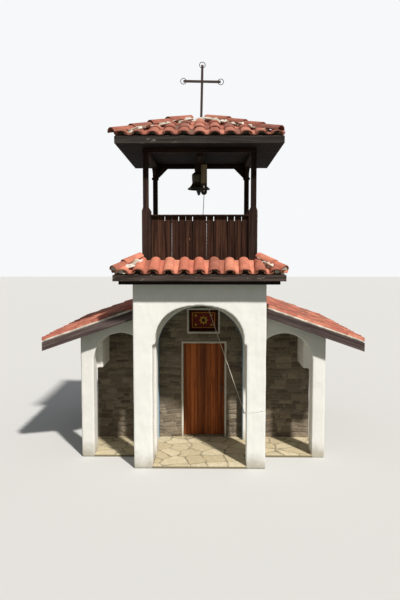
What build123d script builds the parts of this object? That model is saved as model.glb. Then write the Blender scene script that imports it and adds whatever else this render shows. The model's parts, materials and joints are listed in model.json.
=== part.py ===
"""A small hill chapel: a rubble stone nave with an arched porch and a bell tower standing in front of it.

Units are millimetres, +Z is up and the front faces -Y. While the pieces are made, Y is counted from the
tower's front face and X from the nave's middle line. Each piece is moved as it is written, so that the
origin lies on the ground under the middle of the whole building.
"""
from build123d import *
from math import atan, cos, hypot, sin, sqrt
import os

os.makedirs("parts", exist_ok=True)

# Tower: two front pillars, an arched front wall, side walls carried on lintels and a rear arch
TOWER_X = -55.0            # the tower stands a little to the left of the nave's middle line
TOWER_HALF = 1195.0        # half of the tower's outside width
TOWER_DEPTH = 2370.0       # front face to rear face
PILLAR_WIDTH = 345.0       # front pillars, seen from the front
PILLAR_DEPTH = 300.0       # front wall and pillars, front to back
LEDGE_STEP = 50.0          # the arch stands this much inside the pillars' inner edge
ARCH_SPRING_Z = 2275.0     # top of the pillars
ARCH_STILT = 80.0          # straight stretch between the ledge and the curve
ARCH_RISE = 630.0          # rise of the curve
ARCH_HAUNCH_R = 600.0      # radius of the curve's two ends
TOWER_TOP_Z = 3400.0       # top of the tower's walls
SIDE_WALL = 295.0          # thickness of the tower's side walls
SIDE_LINTEL_Z = 2440.0     # underside of the tower's side walls, over the porch arches
REAR_ARCH_DEPTH = 230.0    # plastered arch in front of the nave's stone wall
REAR_ARCH_HALF = 870.0
REAR_SPRING_Z = 2035.0
REAR_ARCH_RISE = 800.0
REAR_HAUNCH_R = 630.0

# Nave
NAVE_FRONT_Y = 1750.0      # outer face of the nave's front wall
NAVE_REAR_Y = 4540.0       # outer face of its rear wall
NAVE_HALF = 2200.0         # half of its outside width
NAVE_WALL = 500.0          # side and rear walls
SHOULDER_Z = 2800.0        # top of its front wall where the tower's rear wall stands on it
FLOOR_TOP = 40.0           # floors of the porch and the nave

# Porch front wall with a round arch each side of the tower
PORCH_Y = 610.0
PORCH_WALL = 350.0
PORCH_HALF = 2330.0
CORNER_PILLAR = 245.0      # width of the porch's outer pillars
SIDE_ARCH_R = 535.0
SIDE_ARCH_X = PORCH_HALF - CORNER_PILLAR - SIDE_ARCH_R
SIDE_SPRING_Z = 1870.0
INNER_PIER = 130.0         # pier that carries the arch's end beside the tower
SIDE_OPENING_Z = 1670.0    # underside of the plastered wall over the porch's two ends
SIDE_LINTEL = 360.0        # thickness of that wall

# Gable roof over the porch and the nave
ROOF_HALF = 2980.0         # ridge to eave, level
ROOF_RIDGE_Z = 3310.0      # top of the boards at the ridge
ROOF_SLOPE = 0.348         # fall for each unit of width
ROOF_FRONT_Y = 300.0
ROOF_REAR_Y = 4840.0
ROOF_BOARD = 40.0          # boards, measured upright
BARGE_HEIGHT = 165.0
BARGE_THICK = 28.0
TAIL_WIDTH = 70.0          # rafter tails under the side eaves
TAIL_HEIGHT = 90.0
TAIL_PITCH = 760.0
TAIL_INSET = 60.0

# Barrel tiles
TILE_BED = 42.0            # height of the troughs over the boards
TILE_OVERHANG = 45.0       # past the eave
HIP_R = 95.0               # radius of hip and ridge tiles
HIP_INSET = 55.0           # the lowest hip tile starts this far inside the tiles' corner

# Skirt roof round the tower's top
SKIRT_HALF = 1500.0
SKIRT_FASCIA = 110.0
SKIRT_FASCIA_Z = 3430.0
SKIRT_SLOPE = 0.51
SKIRT_BEAM_HALF = 1410.0
SKIRT_BEAM_Z = 3370.0
FASCIA_THICK = 28.0

# Belfry
BELFRY_HALF = 1035.0       # half of its outside width
BELFRY_Y = TOWER_DEPTH / 2  # middle, front to back
POST_BASE = 160.0
POST_SHAFT = 98.0
POST_SET_BACK = 20.0       # the shaft's outer faces stand this far inside the base's
POST_BASE_TOP_Z = 4670.0
POST_TAPER = 70.0
PARAPET_TOP_Z = 4573.0
PARAPET_THICK = 26.0
PARAPET_INSET = 34.0
RAIL_THICK = 32.0
RAIL_WIDTH = 126.0
RAIL_OVERHANG = 50.0       # the rail stands this far in front of the boards
FLOOR_BOARD = 40.0
PLATE_Z = 5700.0           # underside of the top plates
PLATE_HEIGHT = 80.0
PLATE_WIDTH = 100.0
BRACE_LEG = 215.0
BRACE_THICK = 58.0

# Upper roof
UPPER_HALF = 1450.0
UPPER_FASCIA = 125.0
UPPER_SLOPE = 0.414
SOFFIT_BOARD = 20.0
ROOF_SKIN = 30.0           # boards of the two hipped roofs, measured upright
APEX_HALF = 60.0           # the boards stop at a small square under the cap
CAP_R = 150.0
CAP_TOP_R = 45.0
CAP_HEIGHT = 80.0
CAP_SKIRT = 70.0           # the cap runs down over the tiles by this much

# Cross on the cap
CROSS_SHIFT_X = 20.0       # the cross stands this far right of the tower's middle
CROSS_X = TOWER_X + CROSS_SHIFT_X
CROSS_TOP_Z = 7530.0
CROSS_ARM_Z = 7220.0
CROSS_ARM_REACH = 360.0    # from the upright's middle to the middle of each side ring
CROSS_BAR = 46.0
CROSS_THICK = 26.0
RING_R = 61.0
RING_HOLE_R = 38.0

# Bell, its beam, clapper, pulley block and rope
BELL_SHIFT_X = -30.0       # the bell hangs a little left of the tower's middle and in front of it
BELL_SHIFT_Y = -5.0
BELL_X = TOWER_X + BELL_SHIFT_X
BELL_Y = BELFRY_Y + BELL_SHIFT_Y
BELL_MOUTH_Z = 5160.0
BELL_MOUTH_R = 220.0
BELL_LIP_R = 214.0
BELL_WAIST_R = 126.0
BELL_SHOULDER_R = 106.0
BELL_CROWN_R = 58.0
BELL_LIP_Z = 20.0          # heights over the mouth
BELL_WAIST_Z = 135.0
BELL_SHOULDER_Z = 232.0
BELL_CROWN_Z = 284.0
BELL_FLARE_R = 175.0       # radius of the hollow curve from lip to waist
BELL_SHOULDER_ROUND = 52.0
BELL_WALL = 16.0
BELL_STEM_R = 24.0
BEAM_WIDTH = 120.0
BEAM_HEIGHT = 140.0
HANGER_WIDTH = 216.0
HANGER_LOW_Z = 5500.0
HANGER_REACH = 225.0       # from the bell's middle forward, clear of its mouth
HANGER_BACK = 65.0
CLAPPER_PIVOT_Z = 5405.0
CLAPPER_EYE_R = 14.0
CLAPPER_TAIL_R = 14.0      # the tail narrows upwards from this
CLAPPER_NECK_R = 6.0
CLAPPER_SIDE_GAP = 3.0     # clapper to ear
CLAPPER_PIN_R = 6.0
CLAPPER_BALL_R = 34.0
CLAPPER_BALL_Z = 5150.0
CLAPPER_TIP_Z = 5050.0
CLAPPER_ROD_R = 9.0
EAR_THICK = 8.0            # ears inside the bell that hold the clapper's pin
EAR_HALF = 16.0
BLOCK_SHIFT_X = 74.0       # the pulley block hangs this far right of the tower's middle
BLOCK_X = TOWER_X + BLOCK_SHIFT_X
BLOCK_WIDTH = 115.0
BLOCK_THICK = 58.0
BLOCK_TOP_Z = 5600.0
BLOCK_LOW_Z = 5030.0
ROPE_R = 7.0
ROPE_BEND_R = 400.0        # where the rope turns under the belfry floor
ROPE_HOLE_SHIFT_X = -10.0
ROPE_HOLE_X = TOWER_X + ROPE_HOLE_SHIFT_X
ROPE_HOLE_R = 34.0
ROPE_TURN = 60.0           # the rope turns this far under the belfry floor
ROPE_Y = BELL_Y - HANGER_REACH - BLOCK_THICK / 2
HOOK_Y = 200.0
HOOK_Z = 980.0
HOOK_REACH = 48.0
HOOK_LIP = 30.0
HOOK_ROD_R = 6.0
HOOK_BEND_R = 12.0
ROD_SIDES = 8              # small forged rods have this many sides

# Doorway, door and niche
DOOR_X = 15.0
DOOR_OPENING = 860.0       # between the plastered edges
DOOR_HEAD_Z = 2040.0
NIB_DEPTH = 150.0          # the wall's front edges, which the door shuts against
REVEAL = 1040.0            # doorway behind them
REVEAL_HEAD_Z = 2110.0
LEAF_OVERLAP = 10.0        # the leaf reaches this far behind each front edge
LEAF_GAP = 8.0             # space round the leaf
LEAF_THICK = 46.0
HINGE_Z = (350.0, 1080.0, 1800.0)
PIN_R = 9.0
PIN_LENGTH = 110.0
PIN_STAND_OFF = 13.0
PIN_CLEARANCE = 0.05
KNUCKLE_R = 12.0
KNUCKLE_LENGTH = 58.0
LUG_HEIGHT = 20.0
LUG_WIDTH = 46.0
STRAP_LENGTH = 300.0
STRAP_HEIGHT = 36.0
STRAP_THICK = 5.0
HANDLE_Z = 1060.0
HANDLE_INSET = 75.0        # from the leaf's free edge
HANDLE_HEIGHT = 150.0
HANDLE_STAND_OFF = 34.0
HANDLE_WIDTH = 20.0
HANDLE_THICK = 9.0
HANDLE_BEND_R = 15.0
SURROUND = 45.0
SURROUND_THICK = 12.0
NICHE_X = 5.0
NICHE_WIDTH = 605.0
NICHE_LOW_Z = 2290.0
NICHE_TOP_Z = 2740.0
NICHE_DEPTH = 120.0
NICHE_FRAME = 38.0
NICHE_FRAME_INSET = 20.0
NICHE_BOARD = 20.0

FIT = 0.3                  # space left between pieces that would otherwise overlap
HIP_REACH = HIP_R * sqrt((1 + SKIRT_SLOPE**2) / (2 + SKIRT_SLOPE**2))
FRONT_Y = BELFRY_Y - SKIRT_HALF - TILE_OVERHANG + HIP_INSET - HIP_REACH
CENTRE_Y = (ROOF_REAR_Y + FRONT_Y) / 2


def save(name, *solids):
    """Write one node; its solids are moved so that the building is centred on the origin."""
    moved = [Pos(0, -CENTRE_Y, 0) * s for s in solids]
    export_step(moved[0] if len(moved) == 1 else Compound(children=moved), f"parts/{name}.step")


def block(x0, x1, y0, y1, z0, z1):
    """A straight block between two corners, in any order."""
    size = (abs(x1 - x0), abs(y1 - y0), abs(z1 - z0))
    return Pos((x0 + x1) / 2, (y0 + y1) / 2, (z0 + z1) / 2) * Box(*size)


def slab_xz(outline, y0, y1):
    """An outline drawn on the front, X across and Z up, carried from y0 back to y1."""
    return extrude(Plane.XZ.offset(-y0) * outline, amount=y0 - y1)


def polygon_xz(points, y0, y1):
    return slab_xz(make_face(Polyline(*points, close=True)), y0, y1)


def polygon_yz(points, x0, x1):
    """An outline drawn on the side, Y across and Z up, carried from x0 to x1."""
    return extrude(Plane.YZ.offset(x0) * make_face(Polyline(*points, close=True)), amount=x1 - x0)


def round_arch(x, half, z_low, z_spring):
    """Outline of an opening with a half-round head."""
    left = Line((x - half, z_spring), (x - half, z_low))
    sill = Line((x - half, z_low), (x + half, z_low))
    right = Line((x + half, z_low), (x + half, z_spring))
    head = ThreePointArc((x + half, z_spring), (x, z_spring + half), (x - half, z_spring))
    return make_face(left + sill + right + head)


def basket_arch(x, half, z_low, z_spring, rise, haunch_r):
    """Outline of an opening with a three-centred head: two haunch arcs and a flatter crown arc between."""
    inset = half - haunch_r
    crown_r = (inset**2 + rise**2 - haunch_r**2) / (2 * (rise - haunch_r))
    drop = crown_r - rise
    reach = hypot(inset, drop)
    joint_x = inset + haunch_r * inset / reach
    joint_z = z_spring + haunch_r * drop / reach
    mid = atan(drop / inset) / 2
    mid_x = inset + haunch_r * cos(mid)
    mid_z = z_spring + haunch_r * sin(mid)
    right = ThreePointArc((x + half, z_spring), (x + mid_x, mid_z), (x + joint_x, joint_z))
    crown = ThreePointArc((x + joint_x, joint_z), (x, z_spring + rise), (x - joint_x, joint_z))
    left = ThreePointArc((x - joint_x, joint_z), (x - mid_x, mid_z), (x - half, z_spring))
    sides = Polyline((x - half, z_spring), (x - half, z_low), (x + half, z_low), (x + half, z_spring))
    return make_face(right + crown + left + sides)


def frustum(x, y, half_low, z_low, half_top, z_top):
    """A square block whose sides lean in from half_low to half_top: two wedges crossed at right angles."""
    wedge = [(-half_low, z_low), (half_low, z_low), (half_top, z_top), (-half_top, z_top)]
    across = polygon_xz([(x + u, z) for u, z in wedge], y - half_low, y + half_low)
    along = polygon_yz([(y + u, z) for u, z in wedge], x - half_low, x + half_low)
    return across & along


def ring(x, y, half, width, z0, z1):
    """A square ring, width wide, inside a square of the given half size."""
    outer = block(x - half, x + half, y - half, y + half, z0, z1)
    inner = half - width
    return outer - block(x - inner, x + inner, y - inner, y + inner, z0 - 1, z1 + 1)


def roof_top(x):
    """Height of the gable roof's boards at a distance from the ridge."""
    return ROOF_RIDGE_Z - ROOF_SLOPE * abs(x)


def roof_under(x):
    return roof_top(x) - ROOF_BOARD


def walls():
    """Stone nave: a floor and four walls, the front one in three pieces round the doorway and niche."""
    inside = NAVE_HALF - NAVE_WALL
    floor = block(-inside, inside, TOWER_DEPTH, NAVE_REAR_Y - NAVE_WALL, 0, FLOOR_TOP)
    for half, y0, y1 in (
        (REVEAL / 2, NAVE_FRONT_Y + NIB_DEPTH, TOWER_DEPTH),
        (DOOR_OPENING / 2, NAVE_FRONT_Y, NAVE_FRONT_Y + NIB_DEPTH),
    ):
        floor += block(DOOR_X - half, DOOR_X + half, y0, y1, 0, FLOOR_TOP)
    save("nave_floor", floor)
    sides = []
    for sign in (-1, 1):
        outline = [
            (sign * inside, 0),
            (sign * NAVE_HALF, 0),
            (sign * NAVE_HALF, roof_under(NAVE_HALF)),
            (sign * inside, roof_under(inside)),
        ]
        sides.append(polygon_xz(outline, TOWER_DEPTH, NAVE_REAR_Y - NAVE_WALL))
    save("nave_side_walls", *sides)
    gable = [
        (-NAVE_HALF, 0),
        (NAVE_HALF, 0),
        (NAVE_HALF, roof_under(NAVE_HALF)),
        (0, roof_under(0)),
        (-NAVE_HALF, roof_under(NAVE_HALF)),
    ]
    save("nave_wall_rear", polygon_xz(gable, NAVE_REAR_Y - NAVE_WALL, NAVE_REAR_Y))

    for side, sign in (("left", -1), ("right", 1)):
        tower_edge = TOWER_X + sign * TOWER_HALF
        nib = DOOR_X + sign * DOOR_OPENING / 2
        wide = DOOR_X + sign * REVEAL / 2
        outline = [
            (nib, 0),
            (sign * NAVE_HALF, 0),
            (sign * NAVE_HALF, roof_under(NAVE_HALF)),
            (tower_edge, roof_under(tower_edge)),
            (tower_edge, SHOULDER_Z),
            (nib, SHOULDER_Z),
        ]
        wall = polygon_xz(outline, NAVE_FRONT_Y, TOWER_DEPTH)
        wall -= block(nib, wide, NAVE_FRONT_Y + NIB_DEPTH, TOWER_DEPTH + 1, -1, REVEAL_HEAD_Z)
        save(f"nave_front_wall_{side}", wall)
    half = DOOR_OPENING / 2
    over = block(DOOR_X - half, DOOR_X + half, NAVE_FRONT_Y, TOWER_DEPTH, DOOR_HEAD_Z, SHOULDER_Z)
    over -= block(
        DOOR_X - half - 1, DOOR_X + half + 1,
        NAVE_FRONT_Y + NIB_DEPTH, TOWER_DEPTH + 1, 0, REVEAL_HEAD_Z,
    )
    over -= block(
        NICHE_X - NICHE_WIDTH / 2, NICHE_X + NICHE_WIDTH / 2,
        NAVE_FRONT_Y - 1, NAVE_FRONT_Y + NICHE_DEPTH, NICHE_LOW_Z, NICHE_TOP_Z,
    )
    save("nave_front_wall_over_door", over)
    save("tower_rear_wall", block(
        TOWER_X - TOWER_HALF, TOWER_X + TOWER_HALF,
        TOWER_DEPTH - SIDE_WALL, TOWER_DEPTH, SHOULDER_Z, TOWER_TOP_Z,
    ))


def tower():
    """Plastered tower: front pillars, arched front wall, side walls and the arch against the nave."""
    opening_half = TOWER_HALF - PILLAR_WIDTH - LEDGE_STEP
    pillars, side_walls, pilasters = [], [], []
    for sign in (-1, 1):
        outer = TOWER_X + sign * TOWER_HALF
        inner = outer - sign * PILLAR_WIDTH
        pillars.append(block(outer, inner, 0, PILLAR_DEPTH, 0, ARCH_SPRING_Z))
        inside = outer - sign * SIDE_WALL
        rear_face = NAVE_FRONT_Y - REAR_ARCH_DEPTH
        side_walls.append(block(outer, inside, PILLAR_DEPTH, rear_face, SIDE_LINTEL_Z, TOWER_TOP_Z))
        rear_wall = TOWER_DEPTH - SIDE_WALL
        side_walls.append(block(outer, inside, NAVE_FRONT_Y, rear_wall, SHOULDER_Z, TOWER_TOP_Z))
        pilaster = outer - sign * (TOWER_HALF - REAR_ARCH_HALF)
        pilasters.append(block(
            outer, pilaster, NAVE_FRONT_Y - REAR_ARCH_DEPTH, NAVE_FRONT_Y, 0, REAR_SPRING_Z,
        ))
    save("tower_pillars", *pillars)
    save("tower_side_walls", *side_walls)
    save("tower_rear_pilasters", *pilasters)
    front = block(
        TOWER_X - TOWER_HALF, TOWER_X + TOWER_HALF, 0, PILLAR_DEPTH, ARCH_SPRING_Z, TOWER_TOP_Z,
    )
    curve_z = ARCH_SPRING_Z + ARCH_STILT
    head = basket_arch(TOWER_X, opening_half, 0, curve_z, ARCH_RISE, ARCH_HAUNCH_R)
    save("tower_arch_wall", front - slab_xz(head, -1, PILLAR_DEPTH + 1))
    rear = block(
        TOWER_X - TOWER_HALF, TOWER_X + TOWER_HALF,
        NAVE_FRONT_Y - REAR_ARCH_DEPTH, NAVE_FRONT_Y, REAR_SPRING_Z, TOWER_TOP_Z,
    )
    head = basket_arch(TOWER_X, REAR_ARCH_HALF, 0, REAR_SPRING_Z, REAR_ARCH_RISE, REAR_HAUNCH_R)
    rear -= slab_xz(head, NAVE_FRONT_Y - REAR_ARCH_DEPTH - 1, NAVE_FRONT_Y + 1)
    save("tower_rear_arch", rear)
    return rear


def porch():
    """Plastered porch wall each side of the tower, the walls over the porch's two ends, and its floor."""
    rear = PORCH_Y + PORCH_WALL
    corner_pillars, piers, end_walls = [], [], []
    for side, sign in (("left", -1), ("right", 1)):
        pier_outer = sign * (SIDE_ARCH_X - SIDE_ARCH_R)
        pier_inner = pier_outer - sign * INNER_PIER
        post_inner = sign * (SIDE_ARCH_X + SIDE_ARCH_R)
        corner_pillars.append(block(post_inner, sign * PORCH_HALF, PORCH_Y, rear, 0, SIDE_OPENING_Z))
        piers.append(block(pier_outer, pier_inner, PORCH_Y, rear, 0, SIDE_SPRING_Z))
        tower_edge = TOWER_X + sign * TOWER_HALF
        outline = [
            (sign * PORCH_HALF, SIDE_OPENING_Z),
            (sign * PORCH_HALF, roof_under(PORCH_HALF)),
            (tower_edge, roof_under(tower_edge)),
            (tower_edge, SIDE_LINTEL_Z),
            (pier_inner, SIDE_LINTEL_Z),
            (pier_inner, SIDE_SPRING_Z),
            (pier_outer, SIDE_SPRING_Z),
            (post_inner, SIDE_OPENING_Z),
        ]
        wall = polygon_xz(outline, PORCH_Y, rear)
        head = round_arch(sign * SIDE_ARCH_X, SIDE_ARCH_R, 0, SIDE_SPRING_Z)
        save(f"porch_arch_wall_{side}", wall - slab_xz(head, PORCH_Y - 1, rear + 1))
        lintel_inner = sign * (PORCH_HALF - SIDE_LINTEL)
        lintel = [
            (lintel_inner, SIDE_OPENING_Z),
            (sign * PORCH_HALF, SIDE_OPENING_Z),
            (sign * PORCH_HALF, roof_under(PORCH_HALF)),
            (lintel_inner, roof_under(lintel_inner)),
        ]
        end_walls.append(polygon_xz(lintel, rear, NAVE_FRONT_Y))
    save("porch_corner_pillars", *corner_pillars)
    save("porch_inner_piers", *piers)
    save("porch_end_walls", *end_walls)
    floor = block(-PORCH_HALF, PORCH_HALF, PORCH_Y, NAVE_FRONT_Y, 0, FLOOR_TOP)
    passage = TOWER_HALF - PILLAR_WIDTH
    floor += block(TOWER_X - passage, TOWER_X + passage, 0, PORCH_Y, 0, FLOOR_TOP)
    for sign in (-1, 1):
        pier = sign * (SIDE_ARCH_X - SIDE_ARCH_R)
        floor -= block(pier, pier - sign * INNER_PIER, PORCH_Y, rear, -1, FLOOR_TOP + 1)
        floor -= block(
            sign * (SIDE_ARCH_X + SIDE_ARCH_R), sign * (PORCH_HALF + 1),
            PORCH_Y - 1, rear, -1, FLOOR_TOP + 1,
        )
        floor -= block(
            TOWER_X + sign * REAR_ARCH_HALF, TOWER_X + sign * TOWER_HALF,
            NAVE_FRONT_Y - REAR_ARCH_DEPTH, NAVE_FRONT_Y + 1, -1, FLOOR_TOP + 1,
        )
    save("porch_floor", floor)


def slope(low, high, x_in, x_out, y0, y1):
    """A slab that follows the gable roof's slope, from low to high over the boards' top face."""
    outline = [
        (x_in, roof_top(x_in) + low),
        (x_out, roof_top(x_out) + low),
        (x_out, roof_top(x_out) + high),
        (x_in, roof_top(x_in) + high),
    ]
    return polygon_xz(outline, y0, y1)


def gable_roof():
    """Boards, barge boards, rafter tails and the bed of barrel tiles, one set for each slope."""
    tower_rear = TOWER_DEPTH
    front_barges, rear_barges, tails = [], [], []
    for side, sign in (("left", -1), ("right", 1)):
        tower_edge = TOWER_X + sign * TOWER_HALF
        eave = sign * ROOF_HALF
        board_front = ROOF_FRONT_Y + BARGE_THICK
        board_rear = ROOF_REAR_Y - BARGE_THICK
        deck = slope(-ROOF_BOARD, 0, tower_edge, eave, board_front, board_rear)
        deck += slope(-ROOF_BOARD, 0, 0, tower_edge, tower_rear, board_rear)
        save(f"roof_deck_{side}", deck)
        tile_edge = sign * (ROOF_HALF + TILE_OVERHANG)
        tiles = slope(0, TILE_BED, tower_edge, tile_edge, ROOF_FRONT_Y, ROOF_REAR_Y)
        tiles += slope(0, TILE_BED, 0, tower_edge, tower_rear, ROOF_REAR_Y)
        save(f"roof_tiles_{side}", tiles)
        low = -BARGE_HEIGHT
        front_barges.append(slope(low, 0, tower_edge, eave, ROOF_FRONT_Y, board_front))
        rear_barges.append(slope(low, 0, 0, eave, board_rear, ROOF_REAR_Y))
        count = int((board_rear - board_front - 2 * TAIL_INSET - TAIL_WIDTH) / TAIL_PITCH) + 1
        pitch = (board_rear - board_front - 2 * TAIL_INSET - TAIL_WIDTH) / (count - 1)
        for i in range(count):
            y = board_front + TAIL_INSET + i * pitch
            wall = NAVE_HALF if y > NAVE_FRONT_Y else PORCH_HALF
            if y < PORCH_Y < y + TAIL_WIDTH or y < NAVE_FRONT_Y < y + TAIL_WIDTH:
                wall = PORCH_HALF
            tails.append(slope(
                -ROOF_BOARD - TAIL_HEIGHT, -ROOF_BOARD, sign * wall, eave - sign * TAIL_INSET,
                y, y + TAIL_WIDTH,
            ))
    save("barge_boards_front", *front_barges)
    save("barge_boards_rear", rear_barges[0] + rear_barges[1])
    save("rafter_tails", *tails)
    ridge_front = BELFRY_Y + SKIRT_BEAM_HALF + FIT
    ridge = Cylinder(HIP_R, ROOF_REAR_Y - ridge_front, rotation=(90, 0, 0))
    ridge = Pos(0, (ROOF_REAR_Y + ridge_front) / 2, roof_top(0) + TILE_BED - HIP_R / 3) * ridge
    bed_low = roof_top(0) + TILE_BED
    drop = ROOF_SLOPE * 2 * HIP_R
    under = make_face(Polyline(
        (-2 * HIP_R, bed_low - drop), (0, bed_low), (2 * HIP_R, bed_low - drop),
        (2 * HIP_R, bed_low - 4 * HIP_R), (-2 * HIP_R, bed_low - 4 * HIP_R), close=True,
    ))
    save("roof_ridge_tiles", ridge - slab_xz(under, tower_rear - 1, ROOF_REAR_Y + 1))


def hipped_skin(half, edge_z, half_top, rise, low, high):
    """Four slopes as one shell, from low to high over the plane through the eave line at edge_z."""
    x, y = TOWER_X, BELFRY_Y
    top = frustum(x, y, half, edge_z + high, half_top, edge_z + rise + high)
    top += block(x - half, x + half, y - half, y + half, edge_z + low, edge_z + high)
    return top - frustum(x, y, half, edge_z + low, half_top, edge_z + rise + low)


def hip_tiles(half, edge_z, half_top, rise, cap=None):
    """Half-round tiles bedded on the four hips, fused with the cap if the roof comes to a point.

    half and edge_z are the tiles' own eave line."""
    fall = rise / (half - half_top)
    spread = 3 * HIP_R
    bed = edge_z + TILE_BED
    under = frustum(TOWER_X, BELFRY_Y, half + spread, bed - spread * fall, half_top, bed + rise)
    pieces = []
    for sx, sy in ((-1, -1), (1, -1), (1, 1), (-1, 1)):
        start = half - HIP_INSET
        low = Vector(TOWER_X + sx * start, BELFRY_Y + sy * start, bed + HIP_INSET * fall - HIP_R / 3)
        top = Vector(TOWER_X + sx * half_top, BELFRY_Y + sy * half_top, bed + rise - HIP_R / 3)
        way = top - low
        pieces.append(Plane(origin=low, z_dir=way) * Pos(0, 0, way.length / 2) * Cylinder(HIP_R, way.length))
    if cap is None:
        return [piece - under for piece in pieces]
    for piece in pieces:
        cap += piece
    return [cap - under]


def skirt():
    """Hipped skirt roof round the tower's top: soffit beams, fascia, boards, tiles and hips."""
    x, y = TOWER_X, BELFRY_Y
    inside = SKIRT_HALF - FASCIA_THICK
    beam = SKIRT_BEAM_HALF
    soffit = block(x - beam, x + beam, y - beam, y + beam, SKIRT_BEAM_Z, SKIRT_FASCIA_Z)
    soffit += block(
        x - inside, x + inside, y - inside, y + inside, SKIRT_FASCIA_Z, SKIRT_FASCIA_Z + SOFFIT_BOARD,
    )
    soffit -= block(x - TOWER_HALF, x + TOWER_HALF, 0, TOWER_DEPTH, 0, PARAPET_TOP_Z)
    save("skirt_soffit", soffit)
    edge_z = SKIRT_FASCIA_Z + SKIRT_FASCIA
    save("skirt_fascia", ring(x, y, SKIRT_HALF, FASCIA_THICK, SKIRT_FASCIA_Z, edge_z))
    inner = BELFRY_HALF + FIT
    hole = block(x - inner, x + inner, y - inner, y + inner, SKIRT_BEAM_Z, PARAPET_TOP_Z)
    rise = SKIRT_SLOPE * (inside - inner)
    deck = hipped_skin(inside, edge_z + SKIRT_SLOPE * FASCIA_THICK, inner, rise, -ROOF_SKIN, 0)
    save("skirt_deck", deck - hole)
    outer = SKIRT_HALF + TILE_OVERHANG
    tile_z = edge_z - SKIRT_SLOPE * TILE_OVERHANG
    rise = SKIRT_SLOPE * (outer - inner)
    save("skirt_tiles", hipped_skin(outer, tile_z, inner, rise, 0, TILE_BED) - hole)
    save("skirt_hip_tiles", *[piece - hole for piece in hip_tiles(outer, tile_z, inner, rise)])


def belfry():
    """Open timber belfry: floor, four posts, boarded parapet with its rail, top plates, and knee braces
    on the two rear posts."""
    x, y = TOWER_X, BELFRY_Y
    floor_top = TOWER_TOP_Z + FLOOR_BOARD
    floor = block(x - TOWER_HALF, x + TOWER_HALF, 0, TOWER_DEPTH, TOWER_TOP_Z, floor_top)
    hole = Cylinder(ROPE_HOLE_R, 3 * FLOOR_BOARD)
    save("belfry_floor", floor - Pos(ROPE_HOLE_X, ROPE_Y, TOWER_TOP_Z) * hole)
    base = BELFRY_HALF - POST_BASE / 2
    shaft = BELFRY_HALF - POST_SET_BACK - POST_SHAFT / 2
    posts, braces = [], []
    for sx in (-1, 1):
        for sy in (-1, 1):
            base_face = Pos(x + sx * base, y + sy * base) * Rectangle(POST_BASE, POST_BASE)
            shaft_face = Pos(x + sx * shaft, y + sy * shaft) * Rectangle(POST_SHAFT, POST_SHAFT)
            post = extrude(Plane.XY.offset(floor_top) * base_face, amount=POST_BASE_TOP_Z - floor_top)
            shaft_low = POST_BASE_TOP_Z + POST_TAPER
            taper = [Plane.XY.offset(POST_BASE_TOP_Z) * base_face, Plane.XY.offset(shaft_low) * shaft_face]
            post += loft(taper, ruled=True)
            post += extrude(Plane.XY.offset(shaft_low) * shaft_face, amount=PLATE_Z - shaft_low)
            posts.append(post)
            if sy < 0:
                continue
            edge = shaft - POST_SHAFT / 2
            across = [
                (x + sx * edge, PLATE_Z),
                (x + sx * edge, PLATE_Z - BRACE_LEG),
                (x + sx * (edge - BRACE_LEG), PLATE_Z),
            ]
            mid = y + sy * shaft
            braces.append(polygon_xz(across, mid - BRACE_THICK / 2, mid + BRACE_THICK / 2))
            along = [
                (y + sy * edge, PLATE_Z),
                (y + sy * edge, PLATE_Z - BRACE_LEG),
                (y + sy * (edge - BRACE_LEG), PLATE_Z),
            ]
            mid = x + sx * shaft
            braces.append(polygon_yz(along, mid - BRACE_THICK / 2, mid + BRACE_THICK / 2))
    save("belfry_posts", *posts)
    save("belfry_braces", *braces)
    clear = BELFRY_HALF - POST_BASE
    face = BELFRY_HALF - PARAPET_INSET
    rail_out = face + RAIL_OVERHANG
    panels = []
    for s in (-1, 1):
        for low, high, out, thick in (
            (floor_top, PARAPET_TOP_Z, face, PARAPET_THICK),
            (PARAPET_TOP_Z, PARAPET_TOP_Z + RAIL_THICK, rail_out, RAIL_WIDTH),
        ):
            panels.append(block(x - clear, x + clear, y + s * out, y + s * (out - thick), low, high))
            panels.append(block(x + s * out, x + s * (out - thick), y - clear, y + clear, low, high))
    sides = [panels[i] + panels[i + 2] for i in (0, 1, 4, 5)]
    save("belfry_parapet", *sides)
    half = BELFRY_HALF - POST_SET_BACK
    save("belfry_top_plates", ring(x, y, half, PLATE_WIDTH, PLATE_Z, PLATE_Z + PLATE_HEIGHT))


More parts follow.
